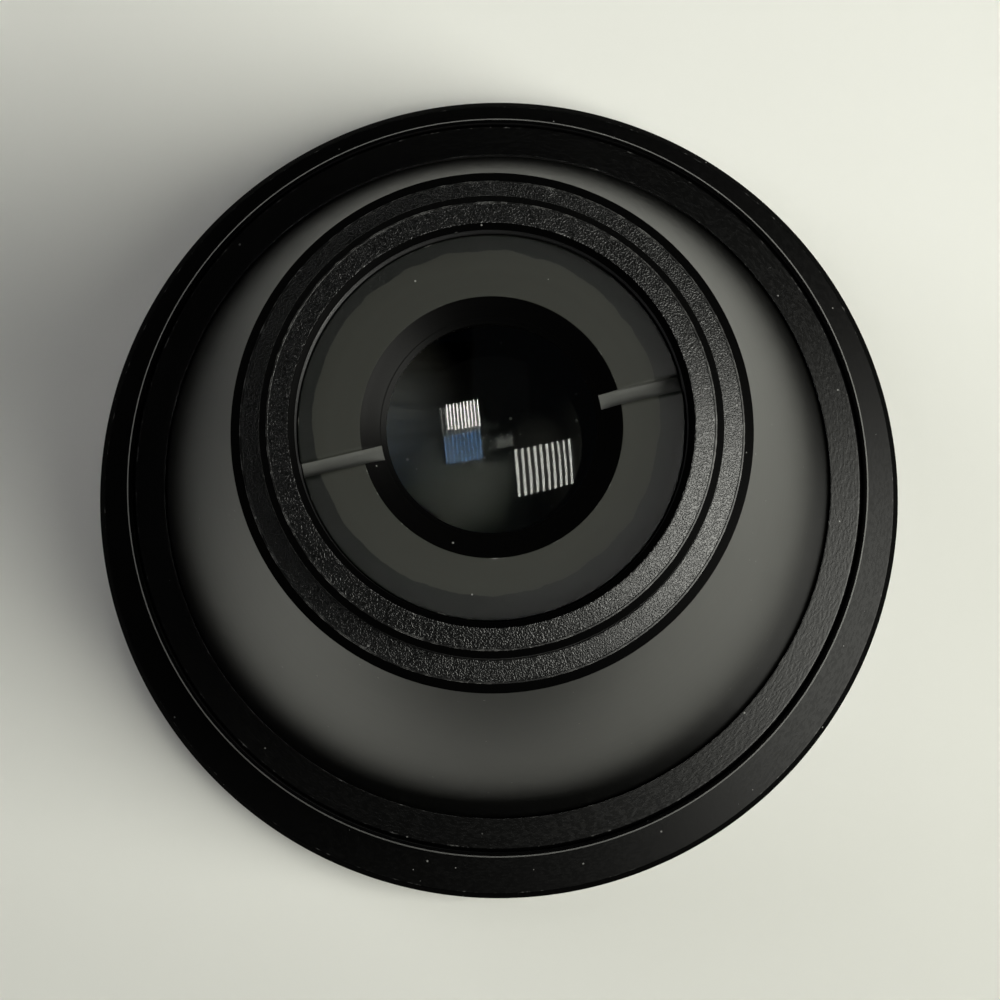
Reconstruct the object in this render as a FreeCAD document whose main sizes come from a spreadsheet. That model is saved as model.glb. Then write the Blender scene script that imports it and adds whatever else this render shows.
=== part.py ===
"""A teleconverter lens: a two-lens front group in a wide barrel, a smooth cone and a two-lens rear group.

The part stands on its front rim. The origin is the centre of the rim's resting plane, and +Z is the
optical axis, towards the camera. All sizes are in millimetres. Radii are measured from the axis.
"""
import FreeCAD, Part
import math
import os
import re
import Sketcher

FLANGE_SCREWS = 4
GRUB_SCREWS = 3
BAFFLE_RIDGES = 14
THREAD_DEPTH = 0.54127  # depth of a metric thread's groove, in pitches
TRIFLE = 0.001  # a length or a volume too small to count

SIZES = [
    ("front_thread", 82.0, "nominal diameter of the filter thread"),
    ("front_pitch", 0.75, "pitch of the filter thread"),
    ("front_length", 3.5, "length of the filter thread"),
    ("front_lead", 0.5, "lead-in bevel of the filter thread"),
    ("rim_wall", 3.0, "wall from the filter thread's nominal radius to the widest edge"),
    ("rim_z", 4.8, "height of the widest edge"),
    ("rim_taper", 0.3, "how far the rim's wall leans in towards the front"),
    ("rim_bevel", 0.6, "bevel above the widest edge"),
    ("foot_bevel", 0.6, "bevel around the resting face"),
    ("shelf_rise", 1.0, "rise of the rim's shelf, the outer band, towards the barrel's wall"),
    ("wall_taper", 0.6, "how far the barrel's wall leans in from the shelf to the upper lip"),
    ("bezel_wall", 0.5, "thickness of the bezel ring"),
    ("bezel_clear", 0.4, "gap between the bezel ring's bore and the front glass, seen from the front"),
    ("front_ring_step", 3.1, "filter thread's nominal radius less the front retaining ring's radius"),
    ("front_ring_cover", 1.5, "how far the front retaining ring reaches over the glass"),
    ("front_ring_wall", 2.5, "thickness of the front retaining ring"),
    ("front_slot_depth", 0.8, "depth of the front spanner slots"),
    ("oring_inset", 0.9, "distance from the glass edge to the centre of the O-ring's section"),
    ("oring_wire", 0.4, "section radius of the front O-ring"),
    ("cell_step", 1.1, "front retaining ring's radius less the front cell's radius"),
    ("cell_wall", 1.75, "wall of the front cell"),
    ("cell_lip_width", 2.7, "how far the front cell's lens seat reaches under the glass"),
    ("cell_lip_wall", 1.2, "thickness of the front cell's lens seat"),
    ("front_curve", 160.0, "curvature radius of the front surface"),
    ("joint_curve", 140.0, "curvature radius of the cemented surface"),
    ("inner_curve", 350.0, "curvature radius of the doublet's inner surface"),
    ("flint_wall", 2.4, "centre thickness of the flint lens"),
    ("crown_edge", 1.6, "edge thickness of the crown lens"),
    ("cement", 0.02, "thickness of the cement layer"),
    ("web_clear", 1.9, "how far the web's bore stands back from the front cell's lens seat"),
    ("web_wall", 2.7, "thickness of the barrel's web"),
    ("flange_wall", 1.6, "thickness of the cone's foot flange"),
    ("lip_inset", 2.55, "filter thread's nominal radius less the upper lip's radius"),
    ("lip_wall", 0.5, "thickness of the barrel's upper lip"),
    ("lip_rise", 2.0, "height of the lip above the cone's flange"),
    ("lip_round", 0.2, "rounding of the lip"),
    ("groove_width", 0.4, "visible groove between the lip and the shoulder band"),
    ("shoulder_width", 2.99, "distance from the inside of the lip to the cone's foot"),
    ("shoulder_bevel", 0.35, "bevel of the shoulder ring beside the groove"),
    ("shoulder_drop", 0.05, "how far the shoulder band's edge lies below the lip"),
    ("shoulder_rise", 0.55, "rise of the shoulder band towards the cone"),
    ("cone_gap", 0.2, "gap between the shoulder ring and the cone"),
    ("seal_width", 0.7, "radial depth of the seal's seat in the shoulder ring"),
    ("seal_height", 1.0, "height of the dust seal"),
    ("seal_base", 0.6, "height of the dust seal above the flange"),
    ("cone_height", 47.8, "height of the cone above its flange"),
    ("cone_wall", 1.65, "wall of the cone, measured across"),
    ("ledge_drop", 5.0, "depth of the stop's ledge below the neck"),
    ("stop_wall", 0.6, "thickness of the light stop"),
    ("stop_reach", 4.9, "how far the light stop reaches in past the spigot's bore"),
    ("baffle_wall", 0.9, "wall of the baffle cone"),
    ("ridge_depth", 1.0, "height of the baffle's ridges"),
    ("baffle_foot", 2.7, "radial width of the baffle's foot"),
    ("rear_thread", 43.0, "nominal diameter of the mount thread"),
    ("rear_pitch", 0.75, "pitch of the mount thread"),
    ("rear_length", 4.0, "length of the mount thread"),
    ("crest_clear", 0.05, "how far the mount thread's crest lies inside its nominal radius"),
    ("neck_inset", 1.05, "radius of the mount thread's crest less the neck's radius"),
    ("neck_step", 0.1, "how far the cone's top stands out from the neck"),
    ("neck_wall", 1.95, "wall of the mount ring's neck"),
    ("neck_length", 2.1, "length of the mount ring's neck"),
    ("runout_width", 0.6, "width of the groove below the mount thread"),
    ("runout_depth", 0.4, "depth of the groove below the mount thread"),
    ("spigot_wall", 1.45, "wall of the cone's spigot"),
    ("spigot_length", 4.2, "length of the cone's spigot"),
    ("shim_wall", 0.2, "thickness of the brass shim"),
    ("mount_lip", 0.95, "how far the mount ring reaches in over the spigot's end"),
    ("bevel_width", 0.8, "width of the bevel above the mount thread"),
    ("bevel_rise", 0.5, "rise of the bevel above the mount thread"),
    ("outer_band_width", 1.99, "width of the nose's outer band, up to the rear cell's collar"),
    ("outer_band_rise", 0.6, "rise of the nose's outer band"),
    ("collar_gap", 0.1, "radial clearance around the foot of the collar"),
    ("collar_seat", 0.25, "depth of the collar's seat in the mount ring"),
    ("collar_height", 3.45, "height of the collar's side wall"),
    ("collar_bevel_width", 0.62, "width of the bevel around the collar"),
    ("collar_bevel_rise", 0.5, "rise of the bevel around the collar"),
    ("inner_band_width", 1.8, "width of the nose's inner band"),
    ("inner_band_rise", 0.55, "rise of the nose's inner band"),
    ("collar_edge", 0.52, "width of the collar's edge inside the inner band"),
    ("collar_drop", 0.38, "drop of the collar's edge towards the bore"),
    ("rear_ring_pitch", 0.5, "pitch of the rear cell's inner thread"),
    ("rear_ring_depth", 1.95, "depth of the rear retaining ring below the collar"),
    ("rear_ring_wall", 2.4, "thickness of the rear retaining ring"),
    ("rear_ring_width", 5.02, "width of the rear ring's flat face"),
    ("sink_width", 2.08, "width of the rear ring's countersink"),
    ("sink_depth", 1.1, "depth of the rear ring's countersink"),
    ("aperture_lip", 0.2, "thickness of the rear ring at its aperture"),
    ("slot_width", 1.2, "width of the spanner slots"),
    ("rear_slot_depth", 0.85, "depth of the rear spanner slots"),
    ("slot_angle", 13.1, "turn of the rear spanner slots, in degrees"),
    ("slip_wall", 0.4, "thickness of the rear slip ring"),
    ("rear_cell_wall", 3.35, "wall of the rear cell around the lenses"),
    ("land_width", 1.9, "width of the flat land around the rear surface"),
    ("rear_curve", 42.0, "curvature radius of the rear surface"),
    ("negative_curve", 60.0, "curvature radius of the negative lens's front surface"),
    ("negative_wall", 1.58, "centre thickness of the negative lens"),
    ("spacer_wall", 1.2, "thickness of the rear spacer"),
    ("spacer_width", 1.4, "radial width of the rear spacer"),
    ("meniscus_curve", 60.0, "curvature radius of the meniscus's hollow surface"),
    ("meniscus_front_curve", 35.0, "curvature radius of the meniscus's front surface"),
    ("meniscus_wall", 3.4, "centre thickness of the meniscus"),
    ("rear_lip_wall", 1.2, "thickness of the rear cell's lens seat"),
    ("fit", 0.1, "radial clearance of threads and sliding seats"),
    ("root_clear", 0.02, "how far the filter thread's root lies outside its nominal radius"),
    ("glass_fit", 0.05, "radial clearance around each lens"),
    ("seat_gap", 0.02, "gap at a seat on a curved surface"),
    ("screw_inset", 1.45, "distance from the flange's edge to the flange screws' axes"),
    ("screw_r", 0.8, "radius of a flange screw"),
    ("screw_head_rim", 0.55, "how far a flange screw's head stands out from its shaft"),
    ("screw_sink", 0.05, "depth of a screw's head below the flange"),
    ("web_skin", 0.1, "metal left in the web below the flange screws' holes"),
    ("grub_r", 0.8, "radius of a set screw"),
    ("grub_sink", 0.15, "depth of a set screw below the neck"),
    ("screw_fit", 0.03, "radial clearance of a screw in its thread"),
    ("driver_slot", 0.3, "width of a screw's driver slot"),
    ("driver_depth", 0.35, "depth of a screw's driver slot"),
]

WORKED_OUT = [
    ("front_minor", f"front_thread / 2 - {THREAD_DEPTH} * front_pitch"),
    ("front_root", "front_thread / 2 + root_clear"),
    ("relief_r", "front_minor + front_lead"),
    ("rim_r", "front_thread / 2 + rim_wall"),
    ("shelf_z", "rim_z + rim_bevel + shelf_rise"),
    ("front_ring_r", "front_thread / 2 - front_ring_step"),
    ("cell_r", "front_ring_r - cell_step"),
    ("front_glass_r", "cell_r - cell_wall - glass_fit"),
    ("cell_lip_r", "front_glass_r - cell_lip_width"),
    ("front_ring_bore", "front_glass_r - front_ring_cover"),
    ("bezel_bore", "front_glass_r + bezel_clear"),
    ("oring_r", "front_glass_r - oring_inset"),
    ("web_bore", "cell_lip_r + web_clear"),
    ("baffle_bore", "web_bore - fit - baffle_foot"),
    ("lip_r", "front_thread / 2 - lip_inset"),
    ("barrel_r", "lip_r + wall_taper"),
    ("recess_r", "lip_r - lip_wall"),
    ("flange_r", "recess_r - fit"),
    ("cone_foot_r", "recess_r - shoulder_width"),
    ("cone_bore", "cone_foot_r - cone_wall"),
    ("screw_ring_r", "flange_r - screw_inset"),
    ("screw_head_r", "screw_r + screw_head_rim"),
    ("screw_bite", "web_wall - screw_r - web_skin"),
    ("crest_r", "rear_thread / 2 - crest_clear"),
    ("neck_r", "crest_r - neck_inset"),
    ("runout_r", "neck_r - runout_depth"),
    ("cone_top_r", "neck_r + neck_step"),
    ("spigot_r", "neck_r - neck_wall - fit"),
    ("spigot_bore", "spigot_r - spigot_wall"),
    ("stop_hole_r", "spigot_bore - stop_reach"),
    ("mount_bore", "spigot_r - mount_lip"),
    ("cell_thread_r", "mount_bore - fit"),
    ("outer_band_r", "crest_r - bevel_width"),
    ("collar_r", "outer_band_r - outer_band_width"),
    ("outer_band_top_r", "collar_r + collar_gap"),
    ("collar_bevel_r", "collar_r - collar_bevel_width"),
    ("inner_band_r", "collar_bevel_r - inner_band_width"),
    ("rear_bore", "inner_band_r - collar_edge"),
    ("rear_ring_r", "rear_bore - fit"),
    ("rear_ring_inner", "rear_ring_r - rear_ring_width"),
    ("aperture_r", "rear_ring_inner - sink_width"),
    ("glass_bore", "spigot_bore - fit - rear_cell_wall"),
    ("rear_glass_r", "glass_bore - glass_fit"),
    ("rear_land", "rear_glass_r - land_width"),
    ("spacer_bore", "rear_glass_r - spacer_width"),
    ("rear_lip_r", "spacer_bore"),
    ("thread_top", "front_lead + front_length"),
    ("bezel_seat", "thread_top + bezel_wall + fit"),
    ("front_ring_z", "bezel_seat + fit"),
    ("front_ring_top", "front_ring_z + front_ring_wall"),
    ("oring_z", "front_ring_top + oring_wire + seat_gap"),
    ("oring_reach", "front_curve + oring_wire + seat_gap"),
    ("front_centre", "oring_z + sqrt(oring_reach ^ 2 - oring_r ^ 2)"),
    ("joint_centre", "front_centre - front_curve + flint_wall + joint_curve"),
    ("crown_curve", "joint_curve - cement"),
    ("crown_foot", "joint_centre - sqrt(crown_curve ^ 2 - front_glass_r ^ 2)"),
    ("inner_centre", "crown_foot + crown_edge - sqrt(inner_curve ^ 2 - front_glass_r ^ 2)"),
    ("cell_seat", "inner_centre + sqrt(inner_curve ^ 2 - cell_lip_r ^ 2) + seat_gap"),
    ("cell_foot", "front_ring_top + fit"),
    ("web_low", "cell_seat + cell_lip_wall"),
    ("web_top", "web_low + web_wall"),
    ("flange_top", "web_top + flange_wall"),
    ("lip_z", "flange_top + lip_rise"),
    ("cone_slope", "(cone_foot_r - cone_top_r) / cone_height"),
    ("neck_z", "flange_top + cone_height"),
    ("ledge_z", "neck_z - ledge_drop"),
    ("stop_z", "ledge_z - stop_wall"),
    ("spigot_top", "neck_z + spigot_length"),
    ("shim_top", "spigot_top + shim_wall"),
    ("grub_z", "neck_z + neck_length / 2"),
    ("rear_thread_z", "neck_z + neck_length + runout_width"),
    ("rear_thread_top", "rear_thread_z + rear_length"),
    ("outer_band_z", "rear_thread_top + bevel_rise"),
    ("outer_band_top", "outer_band_z + outer_band_rise"),
    ("collar_foot", "outer_band_top - collar_seat"),
    ("collar_rim_z", "collar_foot + collar_height"),
    ("inner_band_z", "collar_rim_z + collar_bevel_rise"),
    ("collar_top", "inner_band_z + inner_band_rise"),
    ("rear_ring_face", "collar_top - rear_ring_depth"),
    ("rear_ring_foot", "rear_ring_face - rear_ring_wall"),
    ("sink_z", "rear_ring_face - sink_depth"),
    ("slip_foot", "rear_ring_foot - slip_wall"),
    ("rear_centre", "slip_foot + sqrt(rear_curve ^ 2 - rear_land ^ 2)"),
    ("negative_vertex", "rear_centre - rear_curve - negative_wall"),
    ("negative_centre", "negative_vertex - negative_curve"),
    ("negative_foot", "negative_centre + sqrt(negative_curve ^ 2 - spacer_bore ^ 2)"),
    ("spacer_foot", "negative_foot - spacer_wall"),
    ("hollow_centre", "spacer_foot + sqrt(meniscus_curve ^ 2 - spacer_bore ^ 2)"),
    ("meniscus_vertex", "hollow_centre - meniscus_curve - meniscus_wall"),
    ("meniscus_centre", "meniscus_vertex + meniscus_front_curve"),
    ("rear_seat", "meniscus_centre - sqrt(meniscus_front_curve ^ 2 - rear_lip_r ^ 2) - seat_gap"),
    ("rear_cell_foot", "rear_seat - rear_lip_wall"),
]

doc = FreeCAD.newDocument("Teleconverter")
sheet = doc.addObject("Spreadsheet::Sheet", "Sizes")


def fill_sheet():
    """Write each driving size, then each worked-out one, in a row of its own."""
    row = 1
    for name, size, meaning in SIZES:
        sheet.set(f"A{row}", meaning)
        sheet.set(f"B{row}", str(size))
        sheet.setAlias(f"B{row}", name)
        row += 1
    for name, formula in WORKED_OUT:
        sheet.set(f"B{row}", "=" + formula)
        sheet.setAlias(f"B{row}", name)
        row += 1
    doc.recompute()


def number(formula):
    """The value of a formula of cell names."""
    return float(sheet.evalExpression(formula))


def bound(formula):
    """The same formula, as an object outside the sheet reads it."""
    return re.sub(r"\b([a-z][a-z_]+)\b(?!\()", r"Sizes.\1", formula)


def cone_at(height, inset="0"):
    """The cone's outer radius at a height, less an inset."""
    return f"cone_foot_r - cone_slope * ({height} - flange_top) - ({inset})"


def origin_feature(body, role):
    """One of a body's own origin planes or axes."""
    return next(feature for feature in body.Origin.OriginFeatures if feature.Role == role)


def new_sketch(body, name, role="XZ_Plane"):
    """An empty sketch on one of the body's origin planes."""
    sketch = body.newObject("Sketcher::SketchObject", name)
    sketch.AttachmentSupport = (origin_feature(body, role), [""])
    sketch.MapMode = "FlatFace"
    return sketch


def pin_point(sketch, side, end, across, up):
    """Bind one point of a sketch to its two formulas. None leaves a coordinate to an arc.

    A sketch's own horizontal axis is its geometry -1, and its vertical axis is -2.
    """
    for kind, axis, formula in (("DistanceX", -2, across), ("DistanceY", -1, up)):
        if formula == "0":
            sketch.addConstraint(Sketcher.Constraint("PointOnObject", side, end, axis))
        elif formula is not None:
            rule = Sketcher.Constraint(kind, -1, 1, side, end, number(formula))
            index = sketch.addConstraint(rule)
            sketch.setExpression(f"Constraints[{index}]", bound(formula))


def draw_outline(sketch, corners, arcs):
    """A closed outline through its corners. arcs maps a side to (centre height, radius, half).

    An arc is centred on the axis. Its half, -1 or 1, says whether it is the low or the high part of
    its circle, and the corners that it meets give None for their height.
    """
    places = []
    for index, (across, up) in enumerate(corners):
        if up is None:
            centre, radius, half = arcs.get(index) or arcs[index - 1]
            drop = math.sqrt(number(radius) ** 2 - number(across) ** 2)
            places.append((number(across), number(centre) + half * drop))
        else:
            places.append((number(across), number(up)))
    ends = []
    for index, start in enumerate(places):
        stop = places[(index + 1) % len(places)]
        if index in arcs:
            centre, radius, half = arcs[index]
            circle = Part.Circle()
            circle.Center = FreeCAD.Vector(0, number(centre), 0)
            circle.Radius = number(radius)
            turns = [math.atan2(up - number(centre), across) for across, up in (start, stop)]
            side = sketch.addGeometry(Part.ArcOfCircle(circle, min(turns), max(turns)), False)
            first, last = (1, 2) if turns[0] < turns[1] else (2, 1)
            sketch.addConstraint(Sketcher.Constraint("PointOnObject", side, 3, -2))
            rise = sketch.addConstraint(Sketcher.Constraint("DistanceY", -1, 1, side, 3, number(centre)))
            sketch.setExpression(f"Constraints[{rise}]", bound(centre))
            reach = sketch.addConstraint(Sketcher.Constraint("Radius", side, number(radius)))
            sketch.setExpression(f"Constraints[{reach}]", bound(radius))
        else:
            line = Part.LineSegment(FreeCAD.Vector(*start, 0), FreeCAD.Vector(*stop, 0))
            side = sketch.addGeometry(line, False)
            first, last = 1, 2
        ends.append((side, first, last))
    for index, (side, first, last) in enumerate(ends):
        next_side, next_first, _ = ends[(index + 1) % len(ends)]
        sketch.addConstraint(Sketcher.Constraint("Coincident", side, last, next_side, next_first))
    for (side, first, _), (across, up) in zip(ends, corners):
        pin_point(sketch, side, first, across, up)


def turned(label, corners, arcs=None):
    """A body turned about the optical axis from an outline of (radius, height) corners."""
    body = doc.addObject("PartDesign::Body", label)
    body.Label = label
    sketch = new_sketch(body, label + "_outline")
    draw_outline(sketch, corners, arcs or {})
    turning = body.newObject("PartDesign::Revolution", label + "_turning")
    turning.Profile = (sketch, [""])
    turning.ReferenceAxis = (sketch, ["V_Axis"])
    turning.Angle = 360
    doc.recompute()
    return body


def rounded(body, size, circles):
    """Round the circular edges of a body that lie at the given (radius, height) places."""
    base = body.Tip
    names = []
    for index, edge in enumerate(base.Shape.Edges):
        if not isinstance(edge.Curve, Part.Circle):
            continue
        for radius, height in circles:
            off = abs(edge.Curve.Radius - number(radius)) + abs(edge.Curve.Center.z - number(height))
            if off < TRIFLE:
                names.append(f"Edge{index + 1}")
    if len(names) != len(circles):
        raise RuntimeError(f"{body.Label}: {len(names)} of {len(circles)} edges found to round")
    rounding = body.newObject("PartDesign::Fillet", body.Label + "_rounding")
    rounding.Base = (base, names)
    rounding.setExpression("Radius", bound(size))
    doc.recompute()


def must_cut(body, before, what):
    """Stop when a cutting feature has taken nothing away."""
    doc.recompute()
    if not body.Shape.Volume < before - TRIFLE:
        raise RuntimeError(f"{body.Label}: {what} cuts nothing")


def threaded(body, low, length, pitch, crest, root):
    """Cut a helical thread groove between two heights, from the crest radius to the root radius.

    The groove's section is a trapezium, narrow at the root. Its widths and the height that it
    stands out past the crest are shares of the pitch.
    """
    half_root, half_mouth, stand_out = 0.07, 0.48, 0.1
    before = body.Shape.Volume
    outward = 1 if number(root) > number(crest) else -1
    mouth = f"{crest} - {outward} * {stand_out} * {pitch}"
    start = f"{low} - {pitch}"
    corners = [
        (root, f"{start} - {half_root} * {pitch}"),
        (mouth, f"{start} - {half_mouth} * {pitch}"),
        (mouth, f"{start} + {half_mouth} * {pitch}"),
        (root, f"{start} + {half_root} * {pitch}"),
    ]
    sketch = new_sketch(body, body.Label + "_thread_outline")
    draw_outline(sketch, corners, {})
    helix = body.newObject("PartDesign::SubtractiveHelix", body.Label + "_thread")
    helix.Profile = (sketch, [""])
    helix.ReferenceAxis = (sketch, ["V_Axis"])
    helix.Mode = 0
    helix.setExpression("Pitch", bound(pitch))
    helix.setExpression("Height", bound(f"{length} + 2 * {pitch}"))
    must_cut(body, before, "the thread")


def drilled(body, name, count, corners, axis_ends):
    """Cut turned holes about the line between two points, repeated evenly about the optical axis."""
    before = body.Shape.Volume
    sketch = new_sketch(body, name + "_outline")
    draw_outline(sketch, corners, {})
    start, stop = axis_ends
    ends = [FreeCAD.Vector(number(across), number(up), 0) for across, up in axis_ends]
    line = sketch.addGeometry(Part.LineSegment(*ends), True)
    pin_point(sketch, line, 1, *start)
    pin_point(sketch, line, 2, *stop)
    hole = body.newObject("PartDesign::Groove", name)
    hole.Profile = (sketch, [""])
    hole.ReferenceAxis = (sketch, ["Axis0"])
    hole.Angle = 360
    must_cut(body, before, name)
    one = before - body.Shape.Volume
    pattern = body.newObject("PartDesign::PolarPattern", name + "_pattern")
    pattern.Originals = [hole]
    pattern.Axis = (origin_feature(body, "Z_Axis"), [""])
    pattern.Angle = 360
    pattern.Occurrences = count
    body.Tip = pattern
    must_cut(body, before - (count - 0.5) * one, name + " pattern")


def slotted(body, face, depth, reach, towards_front):
    """Mill one straight pass across a ring's face, which leaves its two spanner slots."""
    before = body.Shape.Volume
    sketch = new_sketch(body, body.Label + "_slot_outline", "XY_Plane")
    sketch.setExpression("AttachmentOffset.Base.z", bound(face))
    corners = [
        (f"0 - ({reach})", "0 - slot_width / 2"),
        (reach, "0 - slot_width / 2"),
        (reach, "slot_width / 2"),
        (f"0 - ({reach})", "slot_width / 2"),
    ]
    draw_outline(sketch, corners, {})
    slot = body.newObject("PartDesign::Pocket", body.Label + "_slots")
    slot.Profile = (sketch, [""])
    slot.setExpression("Length", bound(depth))
    slot.Reversed = towards_front
    must_cut(body, before, "the slot")


def front_barrel():
    """Wide rim with a shelf, filter thread, seats for the front group, web for the cone's foot, thin lip."""
    corners = [
        ("relief_r", "0"),
        ("rim_r - rim_taper - foot_bevel", "0"),
        ("rim_r - rim_taper", "foot_bevel"),
        ("rim_r", "rim_z"),
        ("rim_r - rim_bevel", "rim_z + rim_bevel"),
        ("barrel_r", "shelf_z"),
        ("lip_r", "lip_z"),
        ("recess_r", "lip_z"),
        ("recess_r", "web_top"),
        ("web_bore", "web_top"),
        ("web_bore", "web_low"),
        ("cell_r + fit", "web_low"),
        ("cell_r + fit", "cell_foot"),
        ("front_ring_r + fit", "cell_foot"),
        ("front_ring_r + fit", "bezel_seat"),
        ("relief_r", "bezel_seat"),
        ("relief_r", "thread_top"),
        ("front_minor", "thread_top"),
        ("front_minor", "front_lead"),
    ]
    body = turned("front_barrel", corners)
    rounded(body, "min(lip_round; 0.45 * lip_wall)", [("lip_r", "lip_z"), ("recess_r", "lip_z")])
    hole = [
        ("screw_ring_r", "web_top - screw_bite - screw_r"),
        ("screw_ring_r + screw_r + screw_fit", "web_top - screw_bite"),
        ("screw_ring_r + screw_r + screw_fit", "web_top + fit"),
        ("screw_ring_r", "web_top + fit"),
    ]
    line = [("screw_ring_r", "web_low"), ("screw_ring_r", "web_top + flange_wall")]
    drilled(body, "screw_holes", FLANGE_SCREWS, hole, line)
    threaded(body, "front_lead", "front_length", "front_pitch", "front_minor", "front_root")
    return body


def front_bezel_ring():
    """Plain ring snapped into the groove behind the filter thread."""
    return turned("front_bezel_ring", [
        ("relief_r - fit", "bezel_seat - bezel_wall"),
        ("relief_r - fit", "bezel_seat"),
        ("bezel_bore", "bezel_seat"),
        ("bezel_bore + bezel_wall / 2", "bezel_seat - bezel_wall"),
    ])


def front_retaining_ring():
    """Slotted ring that presses the O-ring on the front glass."""
    bevel = "front_ring_wall / 2"
    body = turned("front_retaining_ring", [
        ("front_ring_r", "front_ring_z"),
        ("front_ring_r", "front_ring_top"),
        ("front_ring_bore", "front_ring_top"),
        ("front_ring_bore", f"front_ring_top - {bevel}"),
        (f"front_ring_bore + {bevel}", "front_ring_z"),
    ])
    slotted(body, "front_ring_z", "front_slot_depth", "front_ring_r + fit", True)
    return body


def front_oring():
    """Round seal between the retaining ring and the front surface."""
    ring = doc.addObject("Part::Torus", "front_oring")
    ring.Label = "front_oring"
    ring.setExpression("Radius1", bound("oring_r"))
    ring.setExpression("Radius2", bound("oring_wire"))
    ring.setExpression("Placement.Base.z", bound("oring_z"))
    return ring


def front_flint_lens():
    """Outer lens of the cemented doublet, hollow towards the crown lens."""
    arcs = {
        0: ("front_centre", "front_curve", -1),
        2: ("joint_centre", "joint_curve", -1),
    }
    corners = [("0", None), ("front_glass_r", None), ("front_glass_r", None), ("0", None)]
    return turned("front_flint_lens", corners, arcs)


def front_crown_lens():
    """Inner lens of the cemented doublet, bulging on both sides."""
    arcs = {
        0: ("joint_centre", "crown_curve", -1),
        2: ("inner_centre", "inner_curve", 1),
    }
    corners = [("0", None), ("front_glass_r", None), ("front_glass_r", None), ("0", None)]
    return turned("front_crown_lens", corners, arcs)


def front_cell():
    """Seat of the front doublet. It bears on the barrel's web."""
    return turned("front_cell", [
        ("cell_r", "cell_foot"),
        ("cell_r", "web_low"),
        ("cell_lip_r", "web_low"),
        ("cell_lip_r", "cell_seat"),
        ("front_glass_r + glass_fit", "cell_seat"),
        ("front_glass_r + glass_fit", "cell_foot"),
    ])


def cone_shell():
    """Foot flange, smooth cone, ledge for the light stop and spigot for the mount ring."""
    corners = [
        ("cone_bore", "web_top"),
        ("flange_r", "web_top"),
        ("flange_r", "flange_top"),
        ("cone_foot_r", "flange_top"),
        ("cone_top_r", "neck_z"),
        ("spigot_r", "neck_z"),
        ("spigot_r", "spigot_top"),
        ("spigot_bore", "spigot_top"),
        ("spigot_bore", "ledge_z"),
        (cone_at("ledge_z", "cone_wall"), "ledge_z"),
        ("cone_bore", "flange_top"),
    ]
    body = turned("cone_shell", corners)
    shaft = "screw_ring_r + screw_r + screw_fit"
    head = "screw_ring_r + screw_head_r + screw_fit"
    head_foot = "flange_top - screw_sink - (screw_head_r - screw_r)"
    hole = [
        ("screw_ring_r", "web_top - fit"),
        (shaft, "web_top - fit"),
        (shaft, head_foot),
        (head, "flange_top - screw_sink"),
        (head, "flange_top + fit"),
        ("screw_ring_r", "flange_top + fit"),
    ]
    line = [("screw_ring_r", "web_low"), ("screw_ring_r", "flange_top + flange_wall")]
    drilled(body, "screw_holes", FLANGE_SCREWS, hole, line)
    return body


def shoulder_ring():
    """Threaded clamp ring over the cone's flange. Its top is the inner band of the shoulder."""
    band_r = "recess_r - groove_width"
    band_z = "lip_z - shoulder_drop"
    seal_low = "flange_top + seal_base"
    seal_high = "flange_top + seal_base + seal_height + fit"
    top = f"{band_z} + shoulder_rise"
    corners = [
        (cone_at("flange_top", "0 - cone_gap"), "flange_top"),
        ("flange_r", "flange_top"),
        ("flange_r", f"{band_z} - shoulder_bevel"),
        (band_r, band_z),
        (cone_at(top, "0 - cone_gap"), top),
        (cone_at(seal_high, "0 - cone_gap"), seal_high),
        (cone_at(seal_high, "0 - cone_gap - seal_width"), seal_high),
        (cone_at(seal_low, "0 - cone_gap - seal_width"), seal_low),
        (cone_at(seal_low, "0 - cone_gap"), seal_low),
    ]
    return turned("shoulder_ring", corners)


def shoulder_seal():
    """Soft ring in the shoulder ring's inner groove. It closes the gap to the cone."""
    low = "flange_top + seal_base"
    high = "flange_top + seal_base + seal_height"
    outer = "0 - cone_gap - seal_width + seat_gap"
    return turned("shoulder_seal", [
        (cone_at(low, "0 - seat_gap"), low),
        (cone_at(low, outer), low),
        (cone_at(high, outer), high),
        (cone_at(high, "0 - seat_gap"), high),
    ])


def baffle_cone():
    """Light baffle inside the cone: a clamped foot and a thin wall with sharp ridges."""
    corners = [
        ("baffle_bore", "web_low"),
        ("web_bore - fit", "web_low"),
        ("web_bore - fit", "web_top - seat_gap"),
        (cone_at("flange_top", "cone_wall + fit"), "web_top - seat_gap"),
        (cone_at("flange_top", "cone_wall + fit"), "flange_top"),
        (cone_at("stop_z", "cone_wall + fit"), "stop_z"),
    ]
    step = f"(stop_z - flange_top) / {BAFFLE_RIDGES}"
    inner = "cone_wall + fit + baffle_wall"
    for ridge in reversed(range(BAFFLE_RIDGES)):
        high = f"flange_top + {ridge + 1} * {step}"
        low = f"flange_top + {ridge} * {step}"
        corners.append((cone_at(high, f"{inner} + ridge_depth"), high))
        corners.append((cone_at(low, inner), low))
    return turned("baffle_cone", corners)


def light_stop():
    """Thin disc between the baffle and the cone's ledge."""
    return turned("light_stop", [
        ("stop_hole_r", "ledge_z"),
        ("stop_hole_r + stop_wall / 2", "stop_z"),
        (cone_at("ledge_z", "cone_wall + fit"), "stop_z"),
        (cone_at("ledge_z", "cone_wall + fit"), "ledge_z"),
    ])


def mount_shim():
    """Brass ring on the spigot's end. It sets the height of the mount ring."""
    return turned("mount_shim", [
        ("mount_bore", "spigot_top"),
        ("spigot_r", "spigot_top"),
        ("spigot_r", "shim_top"),
        ("mount_bore", "shim_top"),
    ])


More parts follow.
